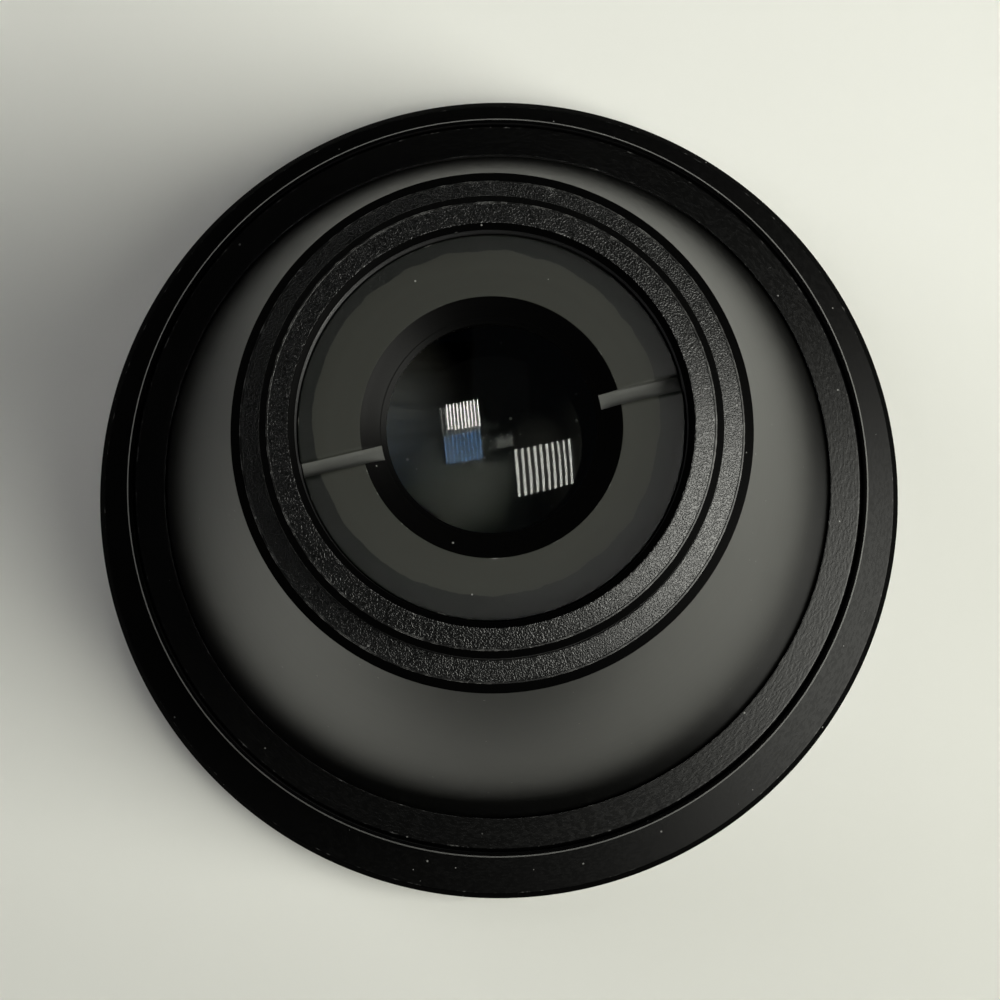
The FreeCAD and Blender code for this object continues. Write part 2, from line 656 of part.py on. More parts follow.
def rear_mount_ring():
    """Neck, mount thread and outer band of the nose, in one ring on the cone's spigot."""
    body = turned("rear_mount_ring", [
        ("spigot_r + fit", "neck_z"),
        ("neck_r", "neck_z"),
        ("neck_r", "neck_z + neck_length"),
        ("runout_r", "neck_z + neck_length"),
        ("runout_r", "rear_thread_z"),
        ("crest_r", "rear_thread_z"),
        ("crest_r", "rear_thread_top"),
        ("outer_band_r", "outer_band_z"),
        ("outer_band_top_r", "outer_band_top"),
        ("outer_band_top_r", "collar_foot"),
        ("mount_bore", "collar_foot"),
        ("mount_bore", "shim_top"),
        ("spigot_r + fit", "shim_top"),
    ])
    hole = [
        ("spigot_r", "grub_z"),
        ("neck_r + grub_r", "grub_z"),
        ("neck_r + grub_r", "grub_z + grub_r + screw_fit"),
        ("spigot_r", "grub_z + grub_r + screw_fit"),
    ]
    line = [("spigot_r - fit", "grub_z"), ("neck_r + 2 * grub_r", "grub_z")]
    drilled(body, "grub_holes", GRUB_SCREWS, hole, line)
    root = f"crest_r - {THREAD_DEPTH} * rear_pitch"
    threaded(body, "rear_thread_z", "rear_length", "rear_pitch", "crest_r", root)
    return body


def rear_cell():
    """Collar with the inner band of the nose, thread for the retaining ring, seats for the lenses."""
    body = turned("rear_cell", [
        ("rear_lip_r", "rear_cell_foot"),
        ("spigot_bore - fit", "rear_cell_foot"),
        ("spigot_bore - fit", "shim_top"),
        ("cell_thread_r", "shim_top"),
        ("cell_thread_r", "collar_foot"),
        ("collar_r", "collar_foot"),
        ("collar_r", "collar_rim_z"),
        ("collar_bevel_r", "inner_band_z"),
        ("inner_band_r", "collar_top"),
        ("rear_bore", "collar_top - collar_drop"),
        ("rear_bore", "rear_ring_foot - fit"),
        ("glass_bore", "rear_ring_foot - fit"),
        ("glass_bore", "rear_seat"),
        ("rear_lip_r", "rear_seat"),
    ])
    length = "rear_ring_wall + rear_ring_depth - collar_drop"
    root = f"rear_bore + {THREAD_DEPTH} * rear_ring_pitch"
    threaded(body, "rear_ring_foot", length, "rear_ring_pitch", "rear_bore", root)
    return body


def rear_retaining_ring():
    """Flat ring with two spanner slots and a countersunk aperture."""
    body = turned("rear_retaining_ring", [
        ("rear_ring_inner", "rear_ring_face"),
        ("aperture_r", "sink_z"),
        ("aperture_r", "sink_z - aperture_lip"),
        ("rear_land", "rear_ring_foot"),
        ("rear_ring_r", "rear_ring_foot"),
        ("rear_ring_r", "rear_ring_face"),
    ])
    slotted(body, "rear_ring_face", "rear_slot_depth", "rear_ring_r + fit", False)
    turn = FreeCAD.Rotation(FreeCAD.Vector(0, 0, 1), number("slot_angle"))
    body.Placement = FreeCAD.Placement(FreeCAD.Vector(0, 0, 0), turn)
    return body


def rear_slip_ring():
    """Thin washer that keeps the turning ring off the glass."""
    return turned("rear_slip_ring", [
        ("rear_land", "slip_foot"),
        ("rear_glass_r", "slip_foot"),
        ("rear_glass_r", "rear_ring_foot"),
        ("rear_land", "rear_ring_foot"),
    ])


def rear_negative_lens():
    """Lens hollow on both sides, with a flat land around each hollow."""
    arcs = {
        0: ("negative_centre", "negative_curve", 1),
        4: ("rear_centre", "rear_curve", -1),
    }
    return turned("rear_negative_lens", [
        ("0", None),
        ("spacer_bore", None),
        ("rear_glass_r", "negative_foot"),
        ("rear_glass_r", "slip_foot"),
        ("rear_land", None),
        ("0", None),
    ], arcs)


def rear_spacer():
    """Plain ring between the two rear lenses."""
    return turned("rear_spacer", [
        ("spacer_bore", "spacer_foot"),
        ("rear_glass_r", "spacer_foot"),
        ("rear_glass_r", "negative_foot"),
        ("spacer_bore", "negative_foot"),
    ])


def rear_meniscus_lens():
    """Lens that bulges towards the front and is hollow towards the camera."""
    arcs = {
        0: ("meniscus_centre", "meniscus_front_curve", -1),
        3: ("hollow_centre", "meniscus_curve", -1),
    }
    return turned("rear_meniscus_lens", [
        ("0", None),
        ("rear_glass_r", None),
        ("rear_glass_r", "spacer_foot"),
        ("spacer_bore", None),
        ("0", None),
    ], arcs)


def slot_cutter(length):
    """A driver's slot: a bar as long as the screw is wide, centred on the screw's end face."""
    width = number("driver_slot")
    depth = number("driver_depth")
    corner = FreeCAD.Vector(-length / 2, -width / 2, -depth)
    return Part.makeBox(length, width, 2 * depth, corner)


def ring_of_screws(label, screw, count):
    """The same screw repeated evenly about the optical axis, as separate solids of one node."""
    copies = []
    for index in range(count):
        copy = screw.copy()
        copy.rotate(FreeCAD.Vector(0, 0, 0), FreeCAD.Vector(0, 0, 1), 360 * index / count)
        copies.append(copy)
    group = doc.addObject("Part::Feature", label)
    group.Label = label
    group.Shape = Part.makeCompound(copies)
    group.Placement = FreeCAD.Placement()
    return group


def flange_screws():
    """Countersunk screws through the cone's flange into the barrel's web."""
    top = number("flange_top - screw_sink")
    foot = number("web_top - screw_bite")
    radius = number("screw_r")
    head = number("screw_head_r")
    cone = Part.makeCone(radius, head, head - radius, FreeCAD.Vector(0, 0, top - head + radius))
    shaft = Part.makeCylinder(radius, top - head + radius - foot, FreeCAD.Vector(0, 0, foot))
    screw = shaft.fuse(cone).removeSplitter()
    cutter = slot_cutter(2 * head)
    cutter.translate(FreeCAD.Vector(0, 0, top))
    screw = screw.cut(cutter)
    screw.translate(FreeCAD.Vector(number("screw_ring_r"), 0, 0))
    return ring_of_screws("flange_screws", screw, FLANGE_SCREWS)


def mount_grub_screws():
    """Set screws through the mount ring's neck. They press on the cone's spigot."""
    radius = number("grub_r")
    start = number("spigot_r + seat_gap")
    stop = number("neck_r - grub_sink")
    screw = Part.makeCylinder(radius, stop - start)
    cutter = slot_cutter(2 * radius + number("driver_slot"))
    cutter.translate(FreeCAD.Vector(0, 0, stop - start))
    screw = screw.cut(cutter)
    screw.rotate(FreeCAD.Vector(0, 0, 0), FreeCAD.Vector(0, 1, 0), 90)
    screw.translate(FreeCAD.Vector(start, 0, number("grub_z")))
    return ring_of_screws("mount_grub_screws", screw, GRUB_SCREWS)


MAKERS = [
    front_barrel,
    front_bezel_ring,
    front_retaining_ring,
    front_oring,
    front_flint_lens,
    front_crown_lens,
    front_cell,
    cone_shell,
    shoulder_ring,
    shoulder_seal,
    baffle_cone,
    light_stop,
    mount_shim,
    rear_mount_ring,
    rear_cell,
    rear_retaining_ring,
    rear_slip_ring,
    rear_negative_lens,
    rear_spacer,
    rear_meniscus_lens,
    flange_screws,
    mount_grub_screws,
]


def check_document(pieces):
    """Stop when anything in the document has failed, or a piece has no valid shape."""
    doc.recompute()
    for item in doc.Objects:
        if "Invalid" in item.State or "Error" in item.State:
            raise RuntimeError(f"{item.Label} is {item.State}")
    for piece in pieces:
        shape = piece.Shape
        if shape.isNull() or not shape.isValid() or not shape.Solids:
            raise RuntimeError(f"{piece.Label} has no valid shape")


fill_sheet()
pieces = [make() for make in MAKERS]
check_document(pieces)
os.makedirs("parts", exist_ok=True)
for piece in pieces:
    piece.Shape.exportStep(f"parts/{piece.Label}.step")
    box = piece.Shape.BoundBox
    print(f"{piece.Label}: {len(piece.Shape.Solids)} solid(s), {piece.Shape.Volume:.1f} mm3, "
          f"radius {box.XMax:.2f}, height {box.ZMin:.2f} to {box.ZMax:.2f}")
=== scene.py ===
"""Teleconverter lens standing on its wide front rim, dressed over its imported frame.

The outlines of the lens are in millimetres and become metres where a mesh is made.
The room and the finishes are in metres, and a bump's height is in microns.
The optical axis is the Z axis. A turned piece is a grid: its rows follow the outline
and its columns, the spokes, go round the axis.
"""
import math

import bpy
import numpy as np
from mathutils import Matrix, Vector


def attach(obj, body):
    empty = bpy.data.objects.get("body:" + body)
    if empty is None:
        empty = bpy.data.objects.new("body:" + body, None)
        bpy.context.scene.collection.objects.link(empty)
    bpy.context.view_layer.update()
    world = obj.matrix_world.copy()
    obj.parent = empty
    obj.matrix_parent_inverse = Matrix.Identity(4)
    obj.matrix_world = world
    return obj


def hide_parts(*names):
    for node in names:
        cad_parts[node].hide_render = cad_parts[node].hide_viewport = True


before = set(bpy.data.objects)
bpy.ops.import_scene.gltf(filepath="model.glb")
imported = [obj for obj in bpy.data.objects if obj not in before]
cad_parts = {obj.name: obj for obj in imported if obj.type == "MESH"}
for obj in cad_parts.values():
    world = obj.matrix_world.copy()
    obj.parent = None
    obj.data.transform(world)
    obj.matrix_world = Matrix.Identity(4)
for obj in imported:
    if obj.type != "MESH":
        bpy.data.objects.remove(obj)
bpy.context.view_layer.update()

MM = 0.001
MICRON = 0.000001

# How finely the pieces are cut.
SPOKES = 512
SMALL_SPOKES = 256       # of the lenses and of the hidden front cell
LENS_ROWS = 72
ARC_STEPS = 4            # steps of an eased corner
SIDE_SHARE = 0.3         # an ease takes at most this share of its side
EDGE_LIGHT_WIDTH = 0.11        # how far the paler edge, wear and painted highlight, reaches on to a side
EDGE_LIGHT_SHARE = 0.18        # and at most this share of the side

# Heights, radii and slopes that several pieces share.
FLANGE_TOP = 18.621
CONE_FOOT = (34.96, FLANGE_TOP)
CONE_TOP = (20.5, 66.421)
CONE_WALL = 1.65
CONE_GAP = 0.2           # between the cone and the shoulder ring
SEAL_WIDTH = 0.7
RING_FACE = 76.521
RING_FOOT = 75.421       # height of the countersink's inner edge
RING_HOLE = 8.52
RING_SINK = 10.6         # radius of the countersink's outer edge
SLOT_FLOOR = 75.671
SLOT_HALF = 0.6
SLOT_TURN = math.radians(13.1)
SLOT_EASE = 0.035
SLOT_GAP_SPOKES = 150    # spokes between two slots
ON_FLOOR = 0.01          # a row this close to the slot's floor lies on it

# Threads: pitch and depth. A crest's flat and a flank are shares of half a pitch.
MOUNT_THREAD = (0.75, 0.40)
WALL_THREAD = (0.5, 0.24)
THREAD_FLAT = 0.125
THREAD_FLANK = 0.625


# ---------------------------------------------------------------- camera

CAMERA_PLACE = (2.079, -20.454, 268.630)
CAMERA_AIM = (0.167, -0.510, 5.0)
CAMERA_LENS = 86.4
CAMERA_SENSOR = 36.0
CAMERA_CLIP = (0.01, 20.0)


def add_camera():
    """Camera over the rear end, turned so that +Y is up in the picture."""
    data = bpy.data.cameras.new("camera")
    data.lens = CAMERA_LENS
    data.sensor_width = CAMERA_SENSOR
    data.clip_start, data.clip_end = CAMERA_CLIP
    camera = bpy.data.objects.new("camera", data)
    bpy.context.collection.objects.link(camera)
    place = Vector(CAMERA_PLACE) * MM
    back = (place - Vector(CAMERA_AIM) * MM).normalized()
    right = Vector((0.0, 1.0, 0.0)).cross(back).normalized()
    up = back.cross(right)
    camera.matrix_world = Matrix((
        (right.x, up.x, back.x, place.x),
        (right.y, up.y, back.y, place.y),
        (right.z, up.z, back.z, place.z),
        (0.0, 0.0, 0.0, 1.0),
    ))
    bpy.context.scene.camera = camera


# ---------------------------------------------------------------- turned surfaces


def cone_radius(height, out=0.0):
    """The cone's outer radius at a height: a straight line from its foot to its top."""
    share = (height - CONE_FOOT[1]) / (CONE_TOP[1] - CONE_FOOT[1])
    return CONE_FOOT[0] + (CONE_TOP[0] - CONE_FOOT[0]) * share + out


class Rows:
    """The rows of a turned outline: radius, height, bend, finish and side, one value each."""

    def __init__(self, radius, height, bend, finish, side):
        self.radius, self.height = np.asarray(radius, float), np.asarray(height, float)
        self.bend, self.finish = np.asarray(bend, float), np.asarray(finish, int)
        self.side = np.asarray(side, int)


def eased_rows(corners):
    """Rows of a closed outline with eased corners, anticlockwise with the axis on the left.

    A corner is (radius, height, ease, finish of the side after it, rows on that side).
    With the ease e, a corner C becomes the curve (1-t)^2 A + 2t(1-t) C + t^2 B, where A
    and B lie e before and after C. bend is +1 on an outer corner and -1 on an inner one.
    """
    points = np.array([c[:2] for c in corners], float)
    count = len(points)
    back = np.roll(points, 1, 0) - points
    ahead = np.roll(points, -1, 0) - points
    back_length = np.hypot(*back.T)
    ahead_length = np.hypot(*ahead.T)
    back /= back_length[:, None]
    ahead /= ahead_length[:, None]
    turn = ahead[:, 0] * back[:, 1] - ahead[:, 1] * back[:, 0]
    ease = np.minimum([c[2] for c in corners], SIDE_SHARE * np.minimum(back_length, ahead_length))
    start = points + back * (ease + np.minimum(EDGE_LIGHT_WIDTH, EDGE_LIGHT_SHARE * back_length))[:, None]
    end = points + ahead * (ease + np.minimum(EDGE_LIGHT_WIDTH, EDGE_LIGHT_SHARE * ahead_length))[:, None]
    t = np.linspace(0.0, 1.0, ARC_STEPS + 1)[:, None]
    before_middle = 1 + ARC_STEPS // 2
    line, bend, finish, side = [], [], [], []
    for i in range(count):
        before, after = points[i] + back[i] * ease[i], points[i] + ahead[i] * ease[i]
        curve = (1 - t) ** 2 * before + 2 * t * (1 - t) * points[i] + t ** 2 * after
        extra = corners[i][4] if len(corners[i]) > 4 else 0
        share = np.linspace(0.0, 1.0, extra + 2)[1:-1, None]
        run = end[i] + (start[(i + 1) % count] - end[i]) * share
        past_middle = ARC_STEPS + 3 - before_middle + extra
        line += [start[i][None], curve, end[i][None], run]
        bend += [0.0] + [float(np.sign(turn[i]))] * (ARC_STEPS + 1) + [0.0] * (1 + extra)
        finish += [corners[i - 1][3]] * before_middle + [corners[i][3]] * past_middle
        side += [i - 1] * before_middle + [i] * past_middle
    line = np.concatenate(line)
    return Rows(line[:, 0], line[:, 1], bend, finish, side)


def dome_rows(radius, centre, curve, hollow_up, finish, outward):
    """Rows of a part-sphere from the axis to a radius, or back.

    Height = centre -/+ sqrt(curve^2 - r^2), minus where the centre lies above the glass.
    """
    r = radius * np.sin(np.linspace(0.0, math.pi / 2, LENS_ROWS))
    r = r if outward else r[::-1]
    z = centre + (-1 if hollow_up else 1) * np.sqrt(curve ** 2 - r ** 2)
    return Rows(r, z, np.zeros(LENS_ROWS), np.full(LENS_ROWS, finish), np.zeros(LENS_ROWS))


def joined_rows(*parts):
    """Several stretches of rows, one after the other."""
    return Rows(*(np.concatenate([getattr(p, key) for p in parts])
                  for key in ("radius", "height", "bend", "finish", "side")))


def thread_cut(rows, corners, pitch, depth):
    """Depth of a thread, 0 on its crest, on the rows of the outline's one side with extra rows.

    f is the fraction of height/pitch - turn/(2 pi), and d = |2f - 1| runs from crest to root.
    The cut is depth * (d - flat) / flank, between 0 and depth. It fades over the side's ends.
    """
    on = rows.side == next(i for i, corner in enumerate(corners) if len(corner) > 4)
    low, high = rows.height[on].min(), rows.height[on].max()
    turn = np.arange(SPOKES) / SPOKES
    f = np.mod(rows.height[:, None] / pitch - turn[None, :], 1.0)
    wave = np.clip((np.abs(2.0 * f - 1.0) - THREAD_FLAT) / THREAD_FLANK, 0.0, 1.0)
    fade = np.clip(np.minimum(rows.height - low, high - rows.height) / (0.5 * pitch), 0.0, 1.0)
    return depth * wave * (fade * on)[:, None]


def grid_faces(row_count, spokes, closed):
    """Quads between neighbouring rows and spokes. The last spoke joins the first."""
    i = np.arange(row_count if closed else row_count - 1)[:, None]
    j = np.arange(spokes)[None, :]
    above, beside = (i + 1) % row_count, (j + 1) % spokes
    corners = (i * spokes + j, i * spokes + beside, above * spokes + beside, above * spokes + j)
    return np.stack(corners, -1).reshape(-1, 4)


def around(radius, angle, height):
    """Points (r cos a, r sin a, z) for each row and spoke."""
    return np.stack(np.broadcast_arrays(radius * np.cos(angle), radius * np.sin(angle), height), -1)


def unrolled(rows, angle):
    """(R cos a, R sin a, distance along the outline) for each row and spoke, with the mean radius R."""
    step = np.hypot(np.diff(rows.radius, prepend=rows.radius[0]), np.diff(rows.height, prepend=rows.height[0]))
    return around(rows.radius.mean(), angle, np.cumsum(step)[:, None])


def make_piece(node, points, faces, finish, bend, lay, finishes):
    """A smooth mesh object in metres that stands for its CAD node and rides on the body."""
    name = node + "_dressed"
    mesh = bpy.data.meshes.new(name)
    mesh.from_pydata(points.reshape(-1, 3) * MM, [], faces)
    mesh.polygons.foreach_set("material_index", finish.ravel())
    mesh.shade_smooth()
    mesh.attributes.new("bend", "FLOAT", "POINT").data.foreach_set("value", bend.ravel())
    mesh.attributes.new("lay", "FLOAT_VECTOR", "POINT").data.foreach_set("vector", (lay * MM).ravel())
    for material in finishes:
        mesh.materials.append(material)
    mesh.update()
    piece = bpy.data.objects.new(name, mesh)
    bpy.context.collection.objects.link(piece)
    piece.modifiers.new("even_normals", "WEIGHTED_NORMAL")
    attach(piece, "root")
    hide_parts(node)
    return piece


def turned_piece(node, rows, finishes, cut=0.0, spokes=SPOKES):
    """A surface of revolution over a closed outline: (r cos a, r sin a, z) over all rows and spokes.

    cut is what a thread adds to the radius, one value for each row and spoke.
    """
    angle = 2.0 * math.pi * np.arange(spokes)[None, :] / spokes
    points = around(rows.radius[:, None] + cut, angle, rows.height[:, None])
    faces = grid_faces(len(rows.radius), spokes, True).tolist()
    return make_piece(node, points, faces, np.repeat(rows.finish, spokes), np.repeat(rows.bend, spokes),
                      unrolled(rows, angle), finishes)


def turned_glass(node, rows, finishes):
    """A surface of revolution over an open outline from the axis to the axis, with a fan on each pole."""
    spoke = np.arange(SMALL_SPOKES)
    beside = (spoke + 1) % SMALL_SPOKES
    angle = 2.0 * math.pi * spoke[None, :] / SMALL_SPOKES
    inner = len(rows.radius) - 2
    first, last = inner * SMALL_SPOKES, inner * SMALL_SPOKES + 1
    top = (inner - 1) * SMALL_SPOKES
    start = np.stack([np.full(SMALL_SPOKES, first), beside, spoke], -1)
    stop = np.stack([top + spoke, top + beside, np.full(SMALL_SPOKES, last)], -1)
    faces = grid_faces(inner, SMALL_SPOKES, False).tolist() + start.tolist() + stop.tolist()
    marks = np.repeat(np.append(rows.finish[1:-2], rows.finish[[0, -2]]), SMALL_SPOKES)
    poles = np.array([[0.0, 0.0, rows.height[0]], [0.0, 0.0, rows.height[-1]]])
    points = around(rows.radius[:, None], angle, rows.height[:, None])[1:-1]
    lay = unrolled(rows, angle)[1:-1]
    return make_piece(node, np.concatenate([points.reshape(-1, 3), poles]), faces, marks,
                      np.zeros(len(poles) + inner * SMALL_SPOKES),
                      np.concatenate([lay.reshape(-1, 3), poles]), finishes)


def slotted_ring(node, rows, finishes, slot_finish):
    """A turned ring with two slots through its top, one on each side.

    The spokes beside a slot run parallel to it: at an offset y from its middle line, a
    point of radius r stands at the angle turn + arcsin(y / r). Between the slots the
    angle grows evenly. In a slot no point is higher than its floor.
    """
    half, ease, deep = SLOT_HALF, SLOT_EASE, RING_FACE - SLOT_FLOOR
    offset = np.array([-half - ease, -half, -half, -half + ease, -half / 3,
                       half / 3, half - ease, half, half, half + ease])
    sink = np.array([0.0, ease, deep - ease, deep, deep, deep, deep, deep - ease, ease, 0.0])
    # Marks the slot's top edges for the paler edge, partly wear and partly a painted edge highlight.
    worn_and_highlit = np.array([0.0, 1.0, 0.0, 0.0, 0.0, 0.0, 0.0, 0.0, 1.0, 0.0])
    plain = np.zeros(SLOT_GAP_SPOKES)
    share = np.linspace(0.0, 1.0, SLOT_GAP_SPOKES + 2)[1:-1]
    r, height = rows.radius[:, None], rows.height[:, None]
    near = np.arcsin(offset[None, :] / r)
    edge = np.arcsin((half + ease) / r)
    far = edge + share[None, :] * (math.pi - 2.0 * edge)
    half_turn = np.concatenate([near, far], 1)
    angle = SLOT_TURN + np.concatenate([half_turn, half_turn + math.pi], 1)
    depth = np.tile(np.concatenate([sink, plain]), 2)[None, :]
    edge_wear_and_highlight = np.tile(np.concatenate([worn_and_highlit, plain]), 2)[None, :]
    z = np.minimum(height, RING_FACE - depth)
    bend = rows.bend[:, None] * (depth < ease / 2) + edge_wear_and_highlight * (height > RING_FACE - 2.0 * ease)
    above_floor = np.maximum(height, np.roll(height, -1, 0)) > SLOT_FLOOR + ON_FLOOR
    finish = np.where((depth > 2.0 * ease) & above_floor, slot_finish, rows.finish[:, None])
    return make_piece(node, around(r, angle, z), grid_faces(*angle.shape, True).tolist(), finish,
                      np.clip(bend, -1.0, 1.0), unrolled(rows, angle), finishes)


# ---------------------------------------------------------------- shader helpers


def feed(tree, node, inputs):
    """Each named input of a node set to its value, or linked where the value is a socket."""
    for key, value in inputs.items():
        if isinstance(value, bpy.types.NodeSocket):
            tree.links.new(value, node.inputs[key])
        else:
            node.inputs[key].default_value = value
    return node


def put(tree, kind, inputs=None, **settings):
    """A shader node with its settings and inputs."""
    made = tree.nodes.new("ShaderNode" + kind)
    for key, value in settings.items():
        setattr(made, key, value)
    return feed(tree, made, inputs or {})


def new_group(name, inputs, outputs):
    """An empty shader group with named sockets. Returns the tree, its input node and its output node."""
    tree = bpy.data.node_groups.new(name, "ShaderNodeTree")
    for in_out, sockets in (("INPUT", inputs), ("OUTPUT", outputs)):
        for label, kind in sockets:
            tree.interface.new_socket(label, in_out=in_out, socket_type="NodeSocket" + kind)
    return tree, tree.nodes.new("NodeGroupInput"), tree.nodes.new("NodeGroupOutput")


def use_group(tree, group, inputs):
    """The outputs of a placed group with its own values."""
    return put(tree, "Group", inputs, node_tree=group).outputs


def sums(tree, operation, first, second=0.0, third=0.0):
    """A Math node's result."""
    return put(tree, "Math", {0: first, 1: second, 2: third}, operation=operation).outputs[0]


def ramp(tree, value, low, high, out_low=0.0, out_high=1.0):
    """A smooth step of a value from low to high."""
    return put(tree, "MapRange", {"Value": value, "From Min": low, "From Max": high, "To Min": out_low,
                                  "To Max": out_high}, interpolation_type="SMOOTHSTEP").outputs["Result"]


def noise(tree, place, cells, detail, **inputs):
    """A noise's value, with so many cells to the metre."""
    return put(tree, "TexNoise", {"Vector": place, "Scale": cells, "Detail": detail, **inputs}).outputs["Fac"]


def blend_colours(tree, share, first, second):
    """A colour mix of two colours, each a socket or three numbers."""
    colours = {key: value if isinstance(value, bpy.types.NodeSocket) else (*value, 1.0)
               for key, value in ((6, first), (7, second))}
    return put(tree, "Mix", {0: share, **colours}, data_type="RGBA").outputs[2]


def bump(tree, height, microns, under=None):
    """A normal raised by a height of so many microns, over another normal where one is given."""
    inputs = {"Height": height, "Distance": microns * MICRON, "Strength": 1.0}
    if under is not None:
        inputs["Normal"] = under
    return put(tree, "Bump", inputs).outputs[0]


def object_place(tree):
    """Object coordinates, in metres."""
    return put(tree, "TexCoord").outputs["Object"]


def piece_mark(tree, name, output):
    """An attribute that make_piece wrote."""
    return put(tree, "Attribute", attribute_name=name, attribute_type="GEOMETRY").outputs[output]


# ---------------------------------------------------------------- effects used by several finishes

WRINKLE_LEVELS = (0.34, 0.6)     # of the noise, from the valleys to the tops
WRINKLE_TWIST = 0.3
GRAIN_CELLS = 2.3                # cells of the fine grain to one of the wrinkle's
PATCH_CELLS = 0.04
LINES_SQUEEZE = 0.012            # how far the lines are drawn out along the cut
WIDE_LINES = 0.13                # wide streaks to one line
EDGE_LIGHT_CELLS = 900.0
EDGE_LIGHT_BEND = (0.35, 0.95)         # of the bend, where the paler edge sets in
EDGE_LIGHT_LEVELS = (0.95, 1.15)       # of noise and paler edge together
SPECK_CELLS = 1300.0
SPECK_PICK = (0.93, 1.0)         # of a cell's own value, so that few cells hold a speck
SPECK_REACH = 0.16
SPECK_EDGE = 0.03
FILM_CELLS = 130.0
FILM_LEVELS = (0.45, 0.8)


def wrinkle_grain_group():
    """Wrinkle lacquer: light worm-like tops and narrow valleys, cut from one noise, with a fine grain.

    height = smoothstep(noise) between two levels just below its middle value.
    """
    tree, given, result = new_group(
        "wrinkle_grain", [("Place", "Vector"), ("Cells", "Float")],
        [("Height", "Float"), ("Grain", "Float"), ("Patch", "Float")])
    place, cells = given.outputs["Place"], given.outputs["Cells"]
    waves = noise(tree, place, cells, 0.0, Distortion=WRINKLE_TWIST)
    feed(tree, result, {
        "Height": ramp(tree, waves, *WRINKLE_LEVELS),
        "Grain": noise(tree, place, sums(tree, "MULTIPLY", cells, GRAIN_CELLS), 1.0),
        "Patch": noise(tree, place, sums(tree, "MULTIPLY", cells, PATCH_CELLS), 3.0),
    })
    return tree


def turning_lines_group():
    """Fine lines left by the turning tool: noise squeezed across the cut and drawn out along it."""
    tree, given, result = new_group(
        "turning_lines", [("Lay", "Vector"), ("Lines", "Float")], [("Height", "Float"), ("Streak", "Float")])
    lay, lines = given.outputs["Lay"], given.outputs["Lines"]
    squeezed = put(tree, "Mapping", {"Vector": lay, "Scale": (LINES_SQUEEZE, LINES_SQUEEZE, 1.0)}).outputs[0]
    feed(tree, result, {
        "Height": noise(tree, squeezed, lines, 4.0, Roughness=0.65),
        "Streak": noise(tree, squeezed, sums(tree, "MULTIPLY", lines, WIDE_LINES), 2.0),
    })
    return tree


def edge_wear_and_highlight_group():
    """Paler outer edges, partly wear and partly a painted edge highlight: the bend of the surface, broken up by
    noise.
    """
    tree, given, result = new_group(
        "edge_wear_and_highlight", [("Bend", "Float"), ("Place", "Vector"), ("Amount", "Float")], [("WornAndHighlit", "Float")])
    patches = noise(tree, given.outputs["Place"], EDGE_LIGHT_CELLS, 5.0, Roughness=0.7)
    edge = ramp(tree, given.outputs["Bend"], *EDGE_LIGHT_BEND)
    worn_and_highlit = ramp(tree, sums(tree, "MULTIPLY_ADD", edge, given.outputs["Amount"], patches), *EDGE_LIGHT_LEVELS)
    feed(tree, result, {"WornAndHighlit": sums(tree, "MULTIPLY", worn_and_highlit, edge)})
    return tree


def dust_group():
    """Fine dust: scattered specks of uneven size and a thin uneven film.

    A speck covers what lies nearer to its cell's middle than its own reach.
    """
    tree, given, result = new_group(
        "dust", [("Place", "Vector"), ("Amount", "Float")], [("Specks", "Float"), ("Film", "Float")])
    place = given.outputs["Place"]
    grains = put(tree, "TexVoronoi", {"Vector": place, "Scale": SPECK_CELLS}, feature="F1").outputs
    pick = put(tree, "SeparateColor", {"Color": grains["Color"]}).outputs[0]
    reach = sums(tree, "MULTIPLY", ramp(tree, pick, *SPECK_PICK, 0.0, SPECK_REACH), given.outputs["Amount"])
    film = noise(tree, place, FILM_CELLS, 6.0, Roughness=0.7)
    feed(tree, result, {
        "Specks": ramp(tree, sums(tree, "SUBTRACT", reach, grains["Distance"]), 0.0, SPECK_EDGE),
        "Film": ramp(tree, film, *FILM_LEVELS),
    })
    return tree


WRINKLE = wrinkle_grain_group()
TURNING = turning_lines_group()
EDGE_WEAR_AND_HIGHLIGHT = edge_wear_and_highlight_group()
DUST = dust_group()


# ---------------------------------------------------------------- finishes

USUAL_INDEX = 1.5                # refraction of a lacquer
USUAL_SHINE = 0.5                # specular level of a lacquer
LINE_LEVELS = (0.2, 0.8)         # of a noise, over which gloss changes
LACQUER_BLACK = (0.0007, 0.0007, 0.0007)
FILM_GREY = (0.2, 0.2, 0.19)
TURNED_LINES = 2600.0            # scale of the turning lines' noise on lacquered pieces
RING_LINES = 5200.0              # and on the grey ring

RING_GREYS = (0.022, 0.0232, 0.0188), (0.030, 0.0312, 0.0262)
RING_ROUGH = (0.40, 0.46)
RING_OUTER_DARK = (0.006, 0.0071, 0.006)
OUTER_PART_GLOSS = 0.1                # what the darker outer part takes off the roughness
OUTER_PART_SHIFT = (0.00042, -0.00036, 0.0)
OUTER_PART_CELLS = 420.0
OUTER_PART_WAVES = 0.0007
OUTER_PART_EDGE = (0.01430, 0.01436)  # from the shifted middle to the darker outer part's inner edge, with its waves

BAFFLE_CELLS = 3000.0
BAFFLE_BLACKS = (0.0008, 0.0008, 0.0008), (0.0018, 0.0018, 0.0017)
BAFFLE_ROUGH = (0.65, 0.85)

FLINT = ((0.93, 0.94, 0.93), 1.62)
CROWN = ((0.95, 0.97, 0.95), 1.52)


def new_material(name):
    """A material with one Principled shader. Returns the material, its tree and the shader."""
    material = bpy.data.materials.new(name)
    material.use_nodes = True
    tree = material.node_tree
    return material, tree, tree.nodes["Principled BSDF"]


def shaded(tree, share, colour, spread):
    """A colour that varies by a spread both ways, from its darkest to its lightest."""
    return blend_colours(tree, share, [c * (1.0 - spread) for c in colour], [c * (1.0 + spread) for c in colour])


